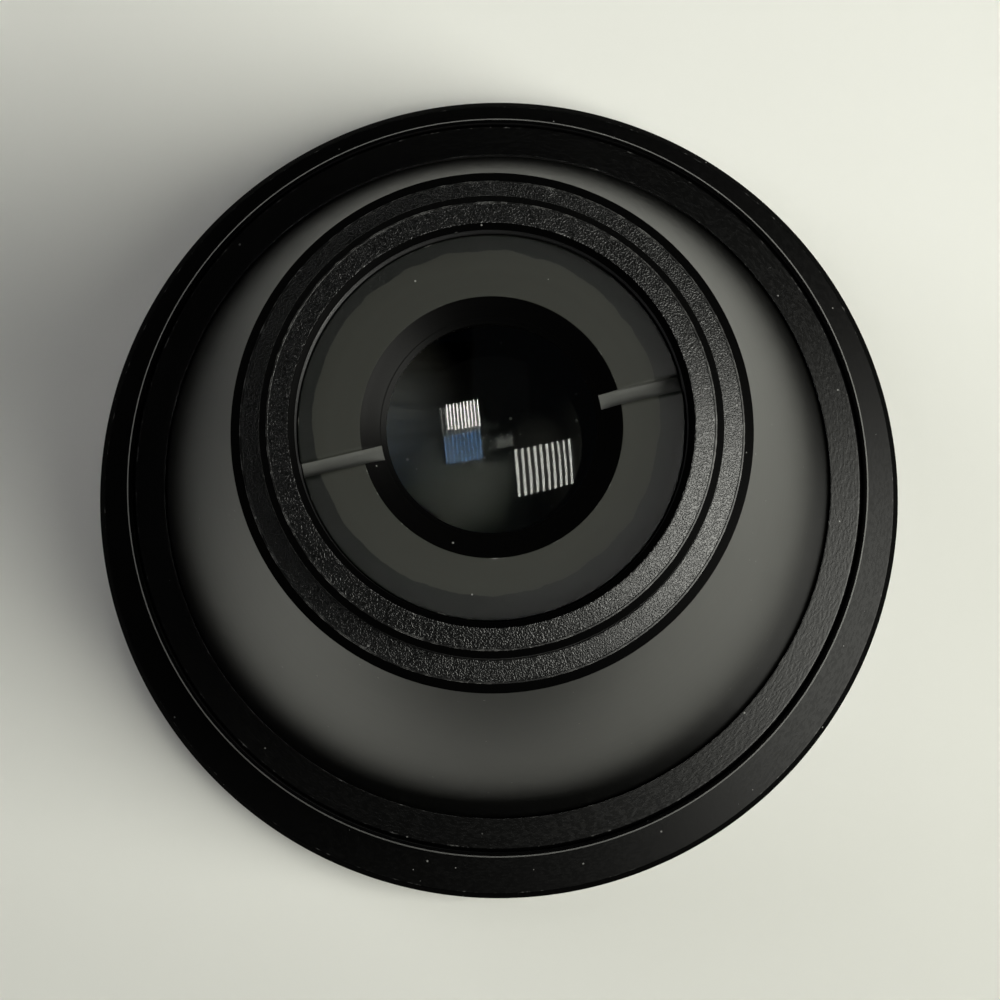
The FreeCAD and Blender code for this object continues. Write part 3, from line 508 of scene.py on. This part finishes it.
def aged_and_highlit(tree, shade, worn_and_highlit, bare_and_highlit, dust, specks, speck, film=0.0):
    """A shade under a dust film, paler edges that are partly wear and partly a painted highlight, and specks.

    The edge amount and dust are the groups' amounts, and specks and film are shares of their colours.
    """
    here, bend = object_place(tree), piece_mark(tree, "bend", "Fac")
    rubbed_and_highlit = use_group(tree, EDGE_WEAR_AND_HIGHLIGHT, {"Bend": bend, "Place": here, "Amount": worn_and_highlit})["WornAndHighlit"]
    dusty = use_group(tree, DUST, {"Place": here, "Amount": dust})
    shade = blend_colours(tree, sums(tree, "MULTIPLY", dusty["Film"], film), shade, FILM_GREY)
    shade = blend_colours(tree, rubbed_and_highlit, shade, bare_and_highlit)
    return blend_colours(tree, sums(tree, "MULTIPLY", dusty["Specks"], specks), shade, speck)


def wrinkle_lacquer(name, cells, ridge, grain, stretch, rough, shine, index=USUAL_INDEX):
    """Black wrinkle lacquer on the bands, drawn out along the turn where stretch is over 1.

    ridge is the height of the wrinkles and grain that of the fine grain, both in microns.
    """
    material, tree, shader = new_material(name)
    drawn = {"Vector": piece_mark(tree, "lay", "Vector"), "Scale": (1.0 / stretch, 1.0 / stretch, 1.0)}
    wrinkle = use_group(tree, WRINKLE, {"Place": put(tree, "Mapping", drawn).outputs[0], "Cells": cells})
    shade = shaded(tree, wrinkle["Patch"], LACQUER_BLACK, 0.3)
    feed(tree, shader, {
        "Base Color": aged_and_highlit(tree, shade, worn_and_highlit=0.42, bare_and_highlit=(0.10, 0.10, 0.097), dust=1.0,
                           specks=0.6, speck=(0.3, 0.3, 0.29)),
        "Roughness": ramp(tree, wrinkle["Height"], 0.0, 1.0, rough + 0.06, rough),
        "IOR": index,
        "Specular IOR Level": shine,
        "Normal": bump(tree, wrinkle["Height"], ridge, bump(tree, wrinkle["Grain"], grain)),
    })
    return material


def satin_lacquer(name, colour, rough, depth=1.5, worn_and_highlit=0.3, film=0.05, spread=0.08,
                  index=USUAL_INDEX, shine=USUAL_SHINE):
    """Smooth satin black with faint turning lines, edges paled by wear and a painted highlight, and a little dust.

    The roughness goes from 0.4 of the spread below rough to 0.6 of it above.
    """
    material, tree, shader = new_material(name)
    cut = use_group(tree, TURNING, {"Lay": piece_mark(tree, "lay", "Vector"), "Lines": TURNED_LINES})
    shade = shaded(tree, cut["Streak"], colour, 0.2)
    feed(tree, shader, {
        "Base Color": aged_and_highlit(tree, shade, worn_and_highlit=worn_and_highlit, bare_and_highlit=(0.16, 0.16, 0.155), dust=0.9,
                           specks=0.5, speck=(0.35, 0.35, 0.34), film=film),
        "Roughness": ramp(tree, cut["Height"], *LINE_LEVELS, rough - 0.4 * spread, rough + 0.6 * spread),
        "IOR": index,
        "Specular IOR Level": shine,
        "Normal": bump(tree, cut["Height"], depth),
    })
    return material


def ring_satin():
    """Dark grey satin ring face, with a darker and glossier outer part inside a wavy edge.

    That part starts where the distance from a middle shifted left and up, plus a slow noise,
    passes its edge, so it is widest towards the lower right.
    """
    material, tree, shader = new_material("ring_satin")
    here = object_place(tree)
    cut = use_group(tree, TURNING, {"Lay": piece_mark(tree, "lay", "Vector"), "Lines": RING_LINES})
    moved = put(tree, "Mapping", {"Vector": here, "Location": OUTER_PART_SHIFT, "Scale": (1.0, 1.0, 0.0)})
    reach = put(tree, "VectorMath", {0: moved.outputs[0]}, operation="LENGTH").outputs["Value"]
    waves = noise(tree, here, OUTER_PART_CELLS, 3.0)
    outer_part = ramp(tree, sums(tree, "MULTIPLY_ADD", waves, OUTER_PART_WAVES, reach), *OUTER_PART_EDGE)
    shade = blend_colours(tree, outer_part, blend_colours(tree, cut["Streak"], *RING_GREYS), RING_OUTER_DARK)
    dry = ramp(tree, cut["Height"], *LINE_LEVELS, *RING_ROUGH)
    feed(tree, shader, {
        "Base Color": aged_and_highlit(tree, shade, worn_and_highlit=0.4, bare_and_highlit=(0.22, 0.22, 0.21), dust=0.9,
                           specks=0.6, speck=(0.5, 0.5, 0.48)),
        "Roughness": sums(tree, "MULTIPLY_ADD", outer_part, -OUTER_PART_GLOSS, dry),
        "Specular IOR Level": 0.35,
        "Normal": bump(tree, cut["Height"], 2.0),
    })
    return material


def baffle_black():
    """Dead matt black lacquer for everything that should swallow light."""
    material, tree, shader = new_material("baffle_black")
    grain = use_group(tree, WRINKLE, {"Place": object_place(tree), "Cells": BAFFLE_CELLS})
    feed(tree, shader, {
        "Base Color": blend_colours(tree, grain["Patch"], *BAFFLE_BLACKS),
        "Roughness": ramp(tree, grain["Height"], 0.0, 1.0, *BAFFLE_ROUGH),
        "Specular IOR Level": 0.05,
        "Normal": bump(tree, grain["Height"], 10.0),
    })
    return material


def lens_glass(name, kind, coating):
    """Polished optical glass. A thin coating dims its reflections, colour by colour."""
    material, tree, shader = new_material(name)
    tint, index = kind
    specks = use_group(tree, DUST, {"Place": object_place(tree), "Amount": 1.1})["Specks"]
    feed(tree, shader, {
        "Base Color": blend_colours(tree, specks, tint, (0.75, 0.75, 0.74)),
        "Roughness": sums(tree, "MULTIPLY", specks, 0.6),
        "IOR": index,
        "Transmission Weight": 1.0,
        "Specular Tint": (*coating, 1.0),
    })
    return material


def grained_finish(name, dark, light, cells, rough, metallic=0.0, squeeze=1.0, height=0.0):
    """A finish of one noise: its shade, its gloss and its bump, squeezed along Y where it was rolled."""
    material, tree, shader = new_material(name)
    place = put(tree, "Mapping", {"Vector": object_place(tree), "Scale": (1.0, squeeze, 1.0)}).outputs[0]
    marks = noise(tree, place, cells, 4.0)
    feed(tree, shader, {
        "Base Color": blend_colours(tree, marks, dark, light),
        "Roughness": ramp(tree, marks, *LINE_LEVELS, *rough),
        "Metallic": metallic,
    })
    if height:
        feed(tree, shader, {"Normal": bump(tree, marks, height)})
    return material


BAND_OUTER = wrinkle_lacquer("lacquer_outer_band", 4600.0, ridge=1.5, grain=1.0, stretch=2.5, rough=0.36, shine=0.17)
BAND_INNER = wrinkle_lacquer("lacquer_inner_band", 4200.0, ridge=5.0, grain=2.0, stretch=2.5, rough=0.31, shine=0.3)
BAND_NOSE = wrinkle_lacquer("lacquer_nose_band", 7600.0, ridge=27.0, grain=10.0, stretch=1.0, rough=0.28, shine=0.5,
                            index=1.6)
CONE_SATIN = satin_lacquer("cone_satin", (0.0016, 0.0016, 0.0015), 0.29, depth=0.0, film=0.004, worn_and_highlit=0.1,
                           spread=0.015, index=1.28)
EDGE_BEAD = satin_lacquer("edge_bead", (0.002, 0.002, 0.002), 0.42, worn_and_highlit=0.5, film=0.01)
EDGE_BLACK = satin_lacquer("edge_black", (0.0006, 0.0006, 0.0006), 0.5, film=0.0, shine=0.02)
# Light grey finish of the lip's top chamfer: a painted highlight line all round.
EDGE_HIGHLIGHT = satin_lacquer("edge_highlight", (0.08, 0.08, 0.078), 0.35, worn_and_highlit=0.9, film=0.0)
ANODISED = satin_lacquer("anodised_black", (0.010, 0.010, 0.0105), 0.36, depth=2.0)
RING_SATIN = ring_satin()
# The slot floors are painted lighter than the ring face to cancel the shade of the slot walls: painted light.
SLOT_LIGHTENED_GREY = satin_lacquer("slot_lightened_grey", (0.075, 0.077, 0.072), 0.5, depth=2.0, worn_and_highlit=0.4, film=0.0)
SINK_BLACK = satin_lacquer("sink_black", (0.001, 0.001, 0.001), 0.34, depth=1.0, worn_and_highlit=0.1, film=0.0, shine=0.05)
BAFFLE_BLACK = baffle_black()
GLASS_REAR = lens_glass("glass_rear", FLINT, (0.6, 0.6, 0.56))
GLASS_MIDDLE = lens_glass("glass_middle", FLINT, (0.8, 0.8, 0.76))
GLASS_DIM = lens_glass("glass_dim", FLINT, (0.2, 0.2, 0.19))
GLASS_CEMENT = lens_glass("glass_cement", CROWN, (0.14, 0.34, 0.8))
GLASS_FRONT = lens_glass("glass_front", CROWN, (0.06, 0.06, 0.06))
SCREW_STEEL = grained_finish("screw_steel", (0.03, 0.03, 0.032), (0.12, 0.12, 0.125), 2600.0, (0.3, 0.5),
                             metallic=0.9)
SHIM_BRASS = grained_finish("shim_brass", (0.62, 0.46, 0.2), (0.76, 0.6, 0.3), 3000.0, (0.25, 0.4),
                            metallic=1.0, squeeze=0.05)
SEAL_RUBBER = grained_finish("seal_rubber", (0.008, 0.008, 0.008), (0.018, 0.018, 0.0175), 5000.0, (0.6, 0.8),
                             height=10.0)


# ---------------------------------------------------------------- the wide front barrel


def front_barrel():
    """Rim, outer band, low wall and lip with a painted highlight line, and the filter thread inside its foot."""
    band, plain, edge, dull, bare_and_highlit = 0, 1, 2, 3, 4
    corners = [
        (41.094, 0.0, 0.08, plain), (43.1, 0.0, 0.1, edge), (43.7, 0.6, 0.1, band), (44.0, 4.8, 0.08, edge),
        # The lip's short top chamfer takes the light grey edge finish: a painted highlight line all round.
        (43.4, 5.4, 0.08, band), (39.05, 6.4, 0.15, band), (38.456, 20.48, 0.02, bare_and_highlit), (38.32, 20.621, 0.02, edge),
        (37.95, 20.621, 0.16, plain), (37.95, 17.021, 0.05, dull), (34.2, 17.021, 0.05, dull),
        (34.2, 14.321, 0.05, dull), (36.9, 14.321, 0.05, dull), (36.9, 7.3, 0.05, dull),
        (38.0, 7.3, 0.05, dull), (38.0, 4.6, 0.05, plain), (41.094, 4.6, 0.05, plain),
        (41.094, 4.0, 0.05, plain), (40.594, 4.0, 0.05, plain, 72), (40.594, 0.5, 0.05, plain),
    ]
    rows = eased_rows(corners)
    turned_piece("front_barrel", rows, [BAND_OUTER, ANODISED, EDGE_BLACK, BAFFLE_BLACK, EDGE_HIGHLIGHT],
                 cut=thread_cut(rows, corners, *MOUNT_THREAD))


def shoulder_ring():
    """Inner band of the shoulder, bevelled outside, with the seal's groove inside."""
    band, plain, edge = 0, 1, 2
    low, high, top = 19.221, 20.321, 21.121
    deep = CONE_GAP + SEAL_WIDTH
    corners = [
        (cone_radius(FLANGE_TOP, CONE_GAP), FLANGE_TOP, 0.05, plain), (37.85, FLANGE_TOP, 0.05, plain),
        (37.85, 20.221, 0.05, edge), (37.55, 20.571, 0.1, band), (cone_radius(top, CONE_GAP), top, 0.12, plain),
        (cone_radius(high, CONE_GAP), high, 0.03, plain), (cone_radius(high, deep), high, 0.03, plain),
        (cone_radius(low, deep), low, 0.03, plain), (cone_radius(low, CONE_GAP), low, 0.03, plain),
    ]
    turned_piece("shoulder_ring", eased_rows(corners), [BAND_INNER, ANODISED, EDGE_BLACK])


def cone_shell():
    """Smooth satin cone with its clamped flange below and the spigot of the nose above."""
    satin, dull, plain = 0, 1, 2
    ledge = 61.421
    corners = [
        (33.31, 17.021, 0.05, plain), (37.85, 17.021, 0.05, plain), (37.85, FLANGE_TOP, 0.05, plain),
        (*CONE_FOOT, 0.05, satin, 24), (*CONE_TOP, 0.1, plain), (18.35, CONE_TOP[1], 0.05, plain),
        (18.35, 70.621, 0.05, plain), (16.9, 70.621, 0.05, dull), (16.9, ledge, 0.05, dull),
        (cone_radius(ledge, -CONE_WALL), ledge, 0.05, dull), (33.31, FLANGE_TOP, 0.05, dull),
    ]
    turned_piece("cone_shell", eased_rows(corners), [CONE_SATIN, BAFFLE_BLACK, ANODISED])


# ---------------------------------------------------------------- the rear nose


def rear_mount_ring():
    """Nose ring: the camera thread outside, then a bevel and the gently rising outer band."""
    band, plain, edge, bead = 0, 1, 2, 3
    corners = [
        (18.45, 66.421, 0.05, plain), (20.4, 66.421, 0.08, plain), (20.4, 68.521, 0.08, plain),
        (20.0, 68.521, 0.05, plain), (20.0, 69.121, 0.05, plain), (21.45, 69.121, 0.1, plain, 80),
        (21.45, 73.121, 0.08, edge), (20.65, 73.621, 0.05, bead), (20.526, 73.660, 0.02, band),
        (20.473, 73.624, 0.02, band), (20.450, 73.685, 0.02, band), (18.76, 74.221, 0.06, plain),
        (18.76, 73.971, 0.02, plain), (17.4, 73.971, 0.02, plain), (17.4, 70.821, 0.05, plain),
        (18.45, 70.821, 0.05, plain),
    ]
    rows = eased_rows(corners)
    turned_piece("rear_mount_ring", rows, [BAND_NOSE, ANODISED, EDGE_BLACK, EDGE_BEAD],
                 cut=-thread_cut(rows, corners, *MOUNT_THREAD))


def rear_cell():
    """Collar over the mount ring: bevel, inner band and the finely threaded wall over the ring."""
    band, plain, edge, dull, bead = 0, 1, 2, 3, 4
    corners = [
        (12.0, 64.413, 0.05, plain), (16.8, 64.413, 0.05, plain), (16.8, 70.821, 0.05, plain),
        (17.3, 70.821, 0.05, plain), (17.3, 73.971, 0.05, plain), (18.66, 73.971, 0.05, plain),
        (18.66, 77.421, 0.06, edge), (18.04, 77.921, 0.05, bead), (17.916, 77.959, 0.02, band),
        (17.862, 77.923, 0.02, band), (17.839, 77.982, 0.02, band), (16.24, 78.471, 0.12, edge),
        (15.72, 78.091, 0.08, plain, 84), (15.72, 74.021, 0.03, dull), (13.45, 74.021, 0.03, dull),
        (13.45, 65.613, 0.03, dull), (12.0, 65.613, 0.03, dull),
    ]
    rows = eased_rows(corners)
    turned_piece("rear_cell", rows, [BAND_NOSE, ANODISED, EDGE_BLACK, BAFFLE_BLACK, EDGE_BEAD],
                 cut=thread_cut(rows, corners, *WALL_THREAD))


def rear_retaining_ring():
    """Grey ring with two spanner slots, their floors painted lighter against their walls' shade, and a black
    countersink round the glass.
    """
    face, sink, slot = 0, 1, 2
    at_slot = RING_HOLE + (SLOT_FLOOR - RING_FOOT) / (RING_FACE - RING_FOOT) * (RING_SINK - RING_HOLE)
    corners = [
        (15.62, 74.121, 0.05, face), (15.62, SLOT_FLOOR, 0.0, face), (15.62, RING_FACE, 0.08, face, 10),
        (RING_SINK, RING_FACE, 0.04, sink), (at_slot, SLOT_FLOOR, 0.0, sink), (RING_HOLE, RING_FOOT, 0.02, sink),
        (RING_HOLE, 75.221, 0.02, sink), (11.5, 74.121, 0.03, sink),
    ]
    slotted_ring("rear_retaining_ring", eased_rows(corners), [RING_SATIN, SINK_BLACK, SLOT_LIGHTENED_GREY], slot)


# ---------------------------------------------------------------- the glass


def lens(node, below, side, above, glass_below, glass_above):
    """A lens from the axis over its lower surface, its blackened side and its upper surface back.

    A dome, below or above, is (radius, height of its centre, curve, centre lies above).
    The last row of the lower dome already has the finish of the side that follows it.
    """
    upper, blackened, lower = 0, 1, 2
    radius, height = zip(*side)
    none = [0] * len(side)
    wall = Rows(radius, height, none, [blackened] * len(side), none)
    rows = joined_rows(dome_rows(*below, lower, True), wall, dome_rows(*above, upper, False))
    rows.finish[LENS_ROWS - 1] = blackened
    piece = turned_glass(node, rows, [glass_above, BAFFLE_BLACK, glass_below])
    piece.visible_shadow = False


def lenses():
    """The cemented doublet in front, and the meniscus and the negative lens at the rear."""
    lens("front_flint_lens", (35.0, 164.374, 160.0, True), [(35.0, 9.7)], (35.0, 146.774, 140.0, True),
         GLASS_FRONT, GLASS_CEMENT)
    lens("front_crown_lens", (35.0, 146.774, 139.98, True), [(35.0, 12.0)], (35.0, -335.406, 350.0, False),
         GLASS_FRONT, GLASS_FRONT)
    lens("rear_meniscus_lens", (13.4, 98.511, 35.0, True), [(13.4, 68.124)], (12.0, 126.911, 60.0, True),
         GLASS_DIM, GLASS_MIDDLE)
    lens("rear_negative_lens", (12.0, 10.536, 60.0, False), [(13.4, 69.324), (13.4, 73.721)],
         (11.5, 114.116, 42.0, True), GLASS_DIM, GLASS_REAR)


# ---------------------------------------------------------------- the front end


def front_bezel_ring():
    """Plain ring in the groove behind the filter thread. It carries no lettering."""
    corners = [(35.65, 4.1, 0.05, 0), (40.994, 4.1, 0.05, 0), (40.994, 4.6, 0.05, 0), (35.4, 4.6, 0.03, 0)]
    turned_piece("front_bezel_ring", eased_rows(corners), [ANODISED])


def front_cell():
    """Seat of the front doublet, turned smooth and blackened."""
    corners = [
        (36.8, 7.3, 0.05, 0), (36.8, 14.321, 0.05, 0), (32.3, 14.321, 0.05, 0), (32.3, 13.121, 0.05, 0),
        (35.05, 13.121, 0.02, 0), (35.05, 7.3, 0.05, 0),
    ]
    turned_piece("front_cell", eased_rows(corners), [ANODISED], spokes=SMALL_SPOKES)


FINISH_OF_NODE = {
    "front_retaining_ring": ANODISED,
    "front_oring": SEAL_RUBBER,
    "shoulder_seal": SEAL_RUBBER,
    "baffle_cone": BAFFLE_BLACK,
    "light_stop": BAFFLE_BLACK,
    "mount_shim": SHIM_BRASS,
    "rear_slip_ring": BAFFLE_BLACK,
    "rear_spacer": BAFFLE_BLACK,
    "flange_screws": SCREW_STEEL,
    "mount_grub_screws": SCREW_STEEL,
}


def dress_nodes():
    """A better material for each CAD node that stays."""
    for node, material in FINISH_OF_NODE.items():
        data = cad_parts[node].data
        data.materials.clear()
        data.materials.append(material)


# ---------------------------------------------------------------- floor, backdrop and light

FLOOR_RADII = (0.02, 0.2, 0.5, 1.0, 2.0, 4.0)
FLOOR_SPOKES = 128
FLOOR_CLOUDS = 9.0
FLOOR_PAINTS = (0.80, 0.805, 0.765), (0.86, 0.865, 0.825)
FLOOR_PAINTED_SHADE = (0.64, 0.644, 0.61)        # painted shade: the paint on the side towards FLOOR_DARK_WAY
FLOOR_DARK_WAY = (-0.26, -0.97, 0.0)
FLOOR_DARK_END = 0.075
MATT = 0.9

# A sheet is (middle, half of it across, half of it along). The dark sheet for the cone's painted dark reflection lies
# just off the floor.
SHADE_CARD = ((0.0, -0.14925, 0.0004), (0.16, 0.0, 0.0), (0.0, -0.09075, 0.0))
SHADE_CARD_FIBRES = 900.0
SHADE_CARD_PAPERS = (0.05, 0.05, 0.048), (0.08, 0.08, 0.076)

PANEL = ((0.086, 0.043, 1.02), (0.056, 0.010, 0.0), (-0.004, 0.042, 0.0))
PANEL_BLADES = 10
PANEL_EDGES = (0.1, 0.75)                # of the sine over the blades, from dark to bright
PANEL_DARK, PANEL_BRIGHT = 0.4, 34.0
PANEL_COLOUR = (1.0, 1.0, 0.97, 1.0)

GLOW_MIDDLE = (0.47, 0.02, 1.25)
GLOW_REACH = 0.4
GLOW_STRENGTH = 0.7
GLOW_DRAWN = (1.0, 8.0, 1.0)
GLOW_CELLS = 5.0
GLOW_STREAKS = (0.2, 0.8, 0.6, 1.3)      # noise from and to, and strength from and to
GLOW_COLOUR = (1.0, 1.0, 0.86, 1.0)

ROOM_COLOUR = (0.9, 0.92, 0.9, 1.0)
ROOM_DIM = 0.02
BACKDROP_GLOW = 0.64
BACKDROP_TOP = (0.2, 0.28)               # heights of the ray's direction between which it fades out

LAMP_AIM = (0.0, 0.0, 0.03)


def stage_piece(name, points, faces, material, camera_sees):
    """A mesh of the room. It is no piece of the lens."""
    mesh = bpy.data.meshes.new(name)
    mesh.from_pydata(points, [], faces)
    mesh.materials.append(material)
    piece = bpy.data.objects.new(name, mesh)
    bpy.context.collection.objects.link(piece)
    piece.visible_camera = camera_sees


def hidden_sheet(name, sheet, material):
    """A flat sheet that no camera ray sees, with its corners at middle -/+ across -/+ along."""
    middle, across, along = np.array(sheet)
    points = middle + np.array([-across - along, along - across, across + along, across - along])
    stage_piece(name, points, [(0, 1, 2, 3)], material, False)


def add_floor():
    """A flat round floor: rings of points (r cos a, r sin a, 0) round its middle.

    Its plain paint hardly varies, and is painted a little darker towards the near left side: painted shade, which the
    cone also mirrors.
    """
    material, tree, shader = new_material("stage_paint")
    here = object_place(tree)
    paint = blend_colours(tree, noise(tree, here, FLOOR_CLOUDS, 4.0), *FLOOR_PAINTS)
    near = put(tree, "VectorMath", {0: here, 1: FLOOR_DARK_WAY}, operation="DOT_PRODUCT").outputs["Value"]
    paint = blend_colours(tree, ramp(tree, near, 0.0, FLOOR_DARK_END), paint, FLOOR_PAINTED_SHADE)
    feed(tree, shader, {"Base Color": paint, "Roughness": MATT, "Specular IOR Level": 0.1})
    spoke = np.arange(FLOOR_SPOKES)
    points = around(np.array(FLOOR_RADII)[:, None], 2.0 * math.pi * spoke[None, :] / FLOOR_SPOKES, 0.0)
    points = np.concatenate([points.reshape(-1, 3), [[0.0, 0.0, 0.0]]])
    hub = np.stack([np.full(FLOOR_SPOKES, len(points) - 1), spoke, (spoke + 1) % FLOOR_SPOKES], -1)
    faces = grid_faces(len(FLOOR_RADII), FLOOR_SPOKES, False)[:, ::-1].tolist() + hub.tolist()
    stage_piece("floor", points, faces, material, True)


def add_shade_card():
    """Dark sheet on the floor below the picture, put there only for the cone to mirror: a painted dark reflection on
    its near side. No camera ray sees it.
    """
    material, tree, shader = new_material("shade_card_paper")
    fibres = noise(tree, object_place(tree), SHADE_CARD_FIBRES, 3.0)
    feed(tree, shader, {"Base Color": blend_colours(tree, fibres, *SHADE_CARD_PAPERS), "Roughness": MATT})
    hidden_sheet("shade_card", SHADE_CARD, material)


def glow_material(name):
    """An empty material for a light board. Returns the material and its tree."""
    material = bpy.data.materials.new(name)
    material.use_nodes = True
    material.node_tree.nodes.clear()
    return material, material.node_tree


def louvred_panel():
    """Slanted ceiling panel with louvres: bright strips cut by a sine, seen by no camera ray.

    The sine runs over the distance from the blades' direction, and the back is clear.
    """
    material, tree = glow_material("panel_glow")
    across, along = np.array(PANEL[1]), np.array(PANEL[2])
    normal = np.array([along[1], -along[0], 0.0])
    way = put(tree, "VectorMath", {0: object_place(tree), 1: tuple(normal)}, operation="DOT_PRODUCT").outputs["Value"]
    turns = 2.0 * math.pi * PANEL_BLADES / (2.0 * normal @ across)
    blades = sums(tree, "SINE", sums(tree, "MULTIPLY", way, turns))
    strength = ramp(tree, blades, *PANEL_EDGES, PANEL_DARK, PANEL_BRIGHT)
    glow = put(tree, "Emission", {"Color": PANEL_COLOUR, "Strength": strength}).outputs[0]
    behind = put(tree, "NewGeometry").outputs["Backfacing"]
    both = put(tree, "MixShader", {0: behind, 1: glow, 2: put(tree, "BsdfTransparent").outputs[0]})
    put(tree, "OutputMaterial", {"Surface": both.outputs[0]})
    hidden_sheet("ceiling_panel", PANEL, material)


def ceiling_glow():
    """Faint light patch on the ceiling, strongest in its middle, seen by no camera ray.

    strength = smoothstep(1 - distance from the middle / reach), with streaks of noise.
    """
    material, tree = glow_material("ceiling_glow")
    here = object_place(tree)
    away = put(tree, "VectorMath", {0: here, 1: GLOW_MIDDLE}, operation="DISTANCE").outputs["Value"]
    drawn = put(tree, "Mapping", {"Vector": here, "Scale": GLOW_DRAWN}).outputs[0]
    streaks = ramp(tree, noise(tree, drawn, GLOW_CELLS, 3.0), *GLOW_STREAKS)
    strength = sums(tree, "MULTIPLY", ramp(tree, away, 0.0, GLOW_REACH, GLOW_STRENGTH, 0.0), streaks)
    glow = put(tree, "Emission", {"Color": GLOW_COLOUR, "Strength": strength})
    put(tree, "OutputMaterial", {"Surface": glow.outputs[0]})
    hidden_sheet("ceiling_glow", (GLOW_MIDDLE, (GLOW_REACH, 0.0, 0.0), (0.0, GLOW_REACH, 0.0)), material)


def pale_room():
    """A dim room with a pale backdrop low all round it, for camera, mirror and glass rays.

    strength = dim + glow * (camera, glossy or transmission ray) * smoothstep down over the height.
    """
    world = bpy.data.worlds.new("room")
    world.use_nodes = True
    tree = world.node_tree
    path = put(tree, "LightPath").outputs
    seen = sums(tree, "MAXIMUM", path["Is Glossy Ray"], path["Is Transmission Ray"])
    seen = sums(tree, "MAXIMUM", path["Is Camera Ray"], seen)
    height = put(tree, "SeparateXYZ", {0: put(tree, "TexCoord").outputs["Generated"]}).outputs["Z"]
    low = ramp(tree, height, *BACKDROP_TOP, BACKDROP_GLOW, 0.0)
    strength = sums(tree, "MULTIPLY_ADD", seen, low, ROOM_DIM)
    feed(tree, tree.nodes["Background"], {"Color": ROOM_COLOUR, "Strength": strength})
    bpy.context.scene.world = world


def add_lamp(name, azimuth, elevation, distance, size, power, colour=(1.0, 1.0, 1.0)):
    """A soft square lamp at a direction from the lens, turned towards it."""
    data = bpy.data.lights.new(name, "AREA")
    data.size = size
    data.energy = power
    data.color = colour
    lamp = bpy.data.objects.new(name, data)
    bpy.context.collection.objects.link(lamp)
    a, e = math.radians(azimuth), math.radians(elevation)
    away = Vector((math.cos(a) * math.cos(e), math.sin(a) * math.cos(e), math.sin(e)))
    lamp.location = Vector(LAMP_AIM) + away * distance
    lamp.rotation_mode = "QUATERNION"
    lamp.rotation_quaternion = away.to_track_quat("Z", "Y")
    return lamp


def add_light():
    """A large window-like key from the right, a weak fill that nothing mirrors, and the ceiling's lights."""
    add_lamp("key", azimuth=-17.0, elevation=40.0, distance=0.85, size=0.6, power=9.9, colour=(1.0, 1.0, 0.92))
    fill = add_lamp("fill", azimuth=150.0, elevation=24.0, distance=1.2, size=0.8, power=5.5)
    fill.visible_glossy = False
    ceiling_glow()
    louvred_panel()
    pale_room()


# ---------------------------------------------------------------- everything in its place

add_camera()
front_barrel()
shoulder_ring()
cone_shell()
rear_mount_ring()
rear_cell()
rear_retaining_ring()
lenses()
front_bezel_ring()
front_cell()
dress_nodes()
add_floor()
add_shade_card()
add_light()
bpy.context.scene.view_settings.view_transform = "Standard"
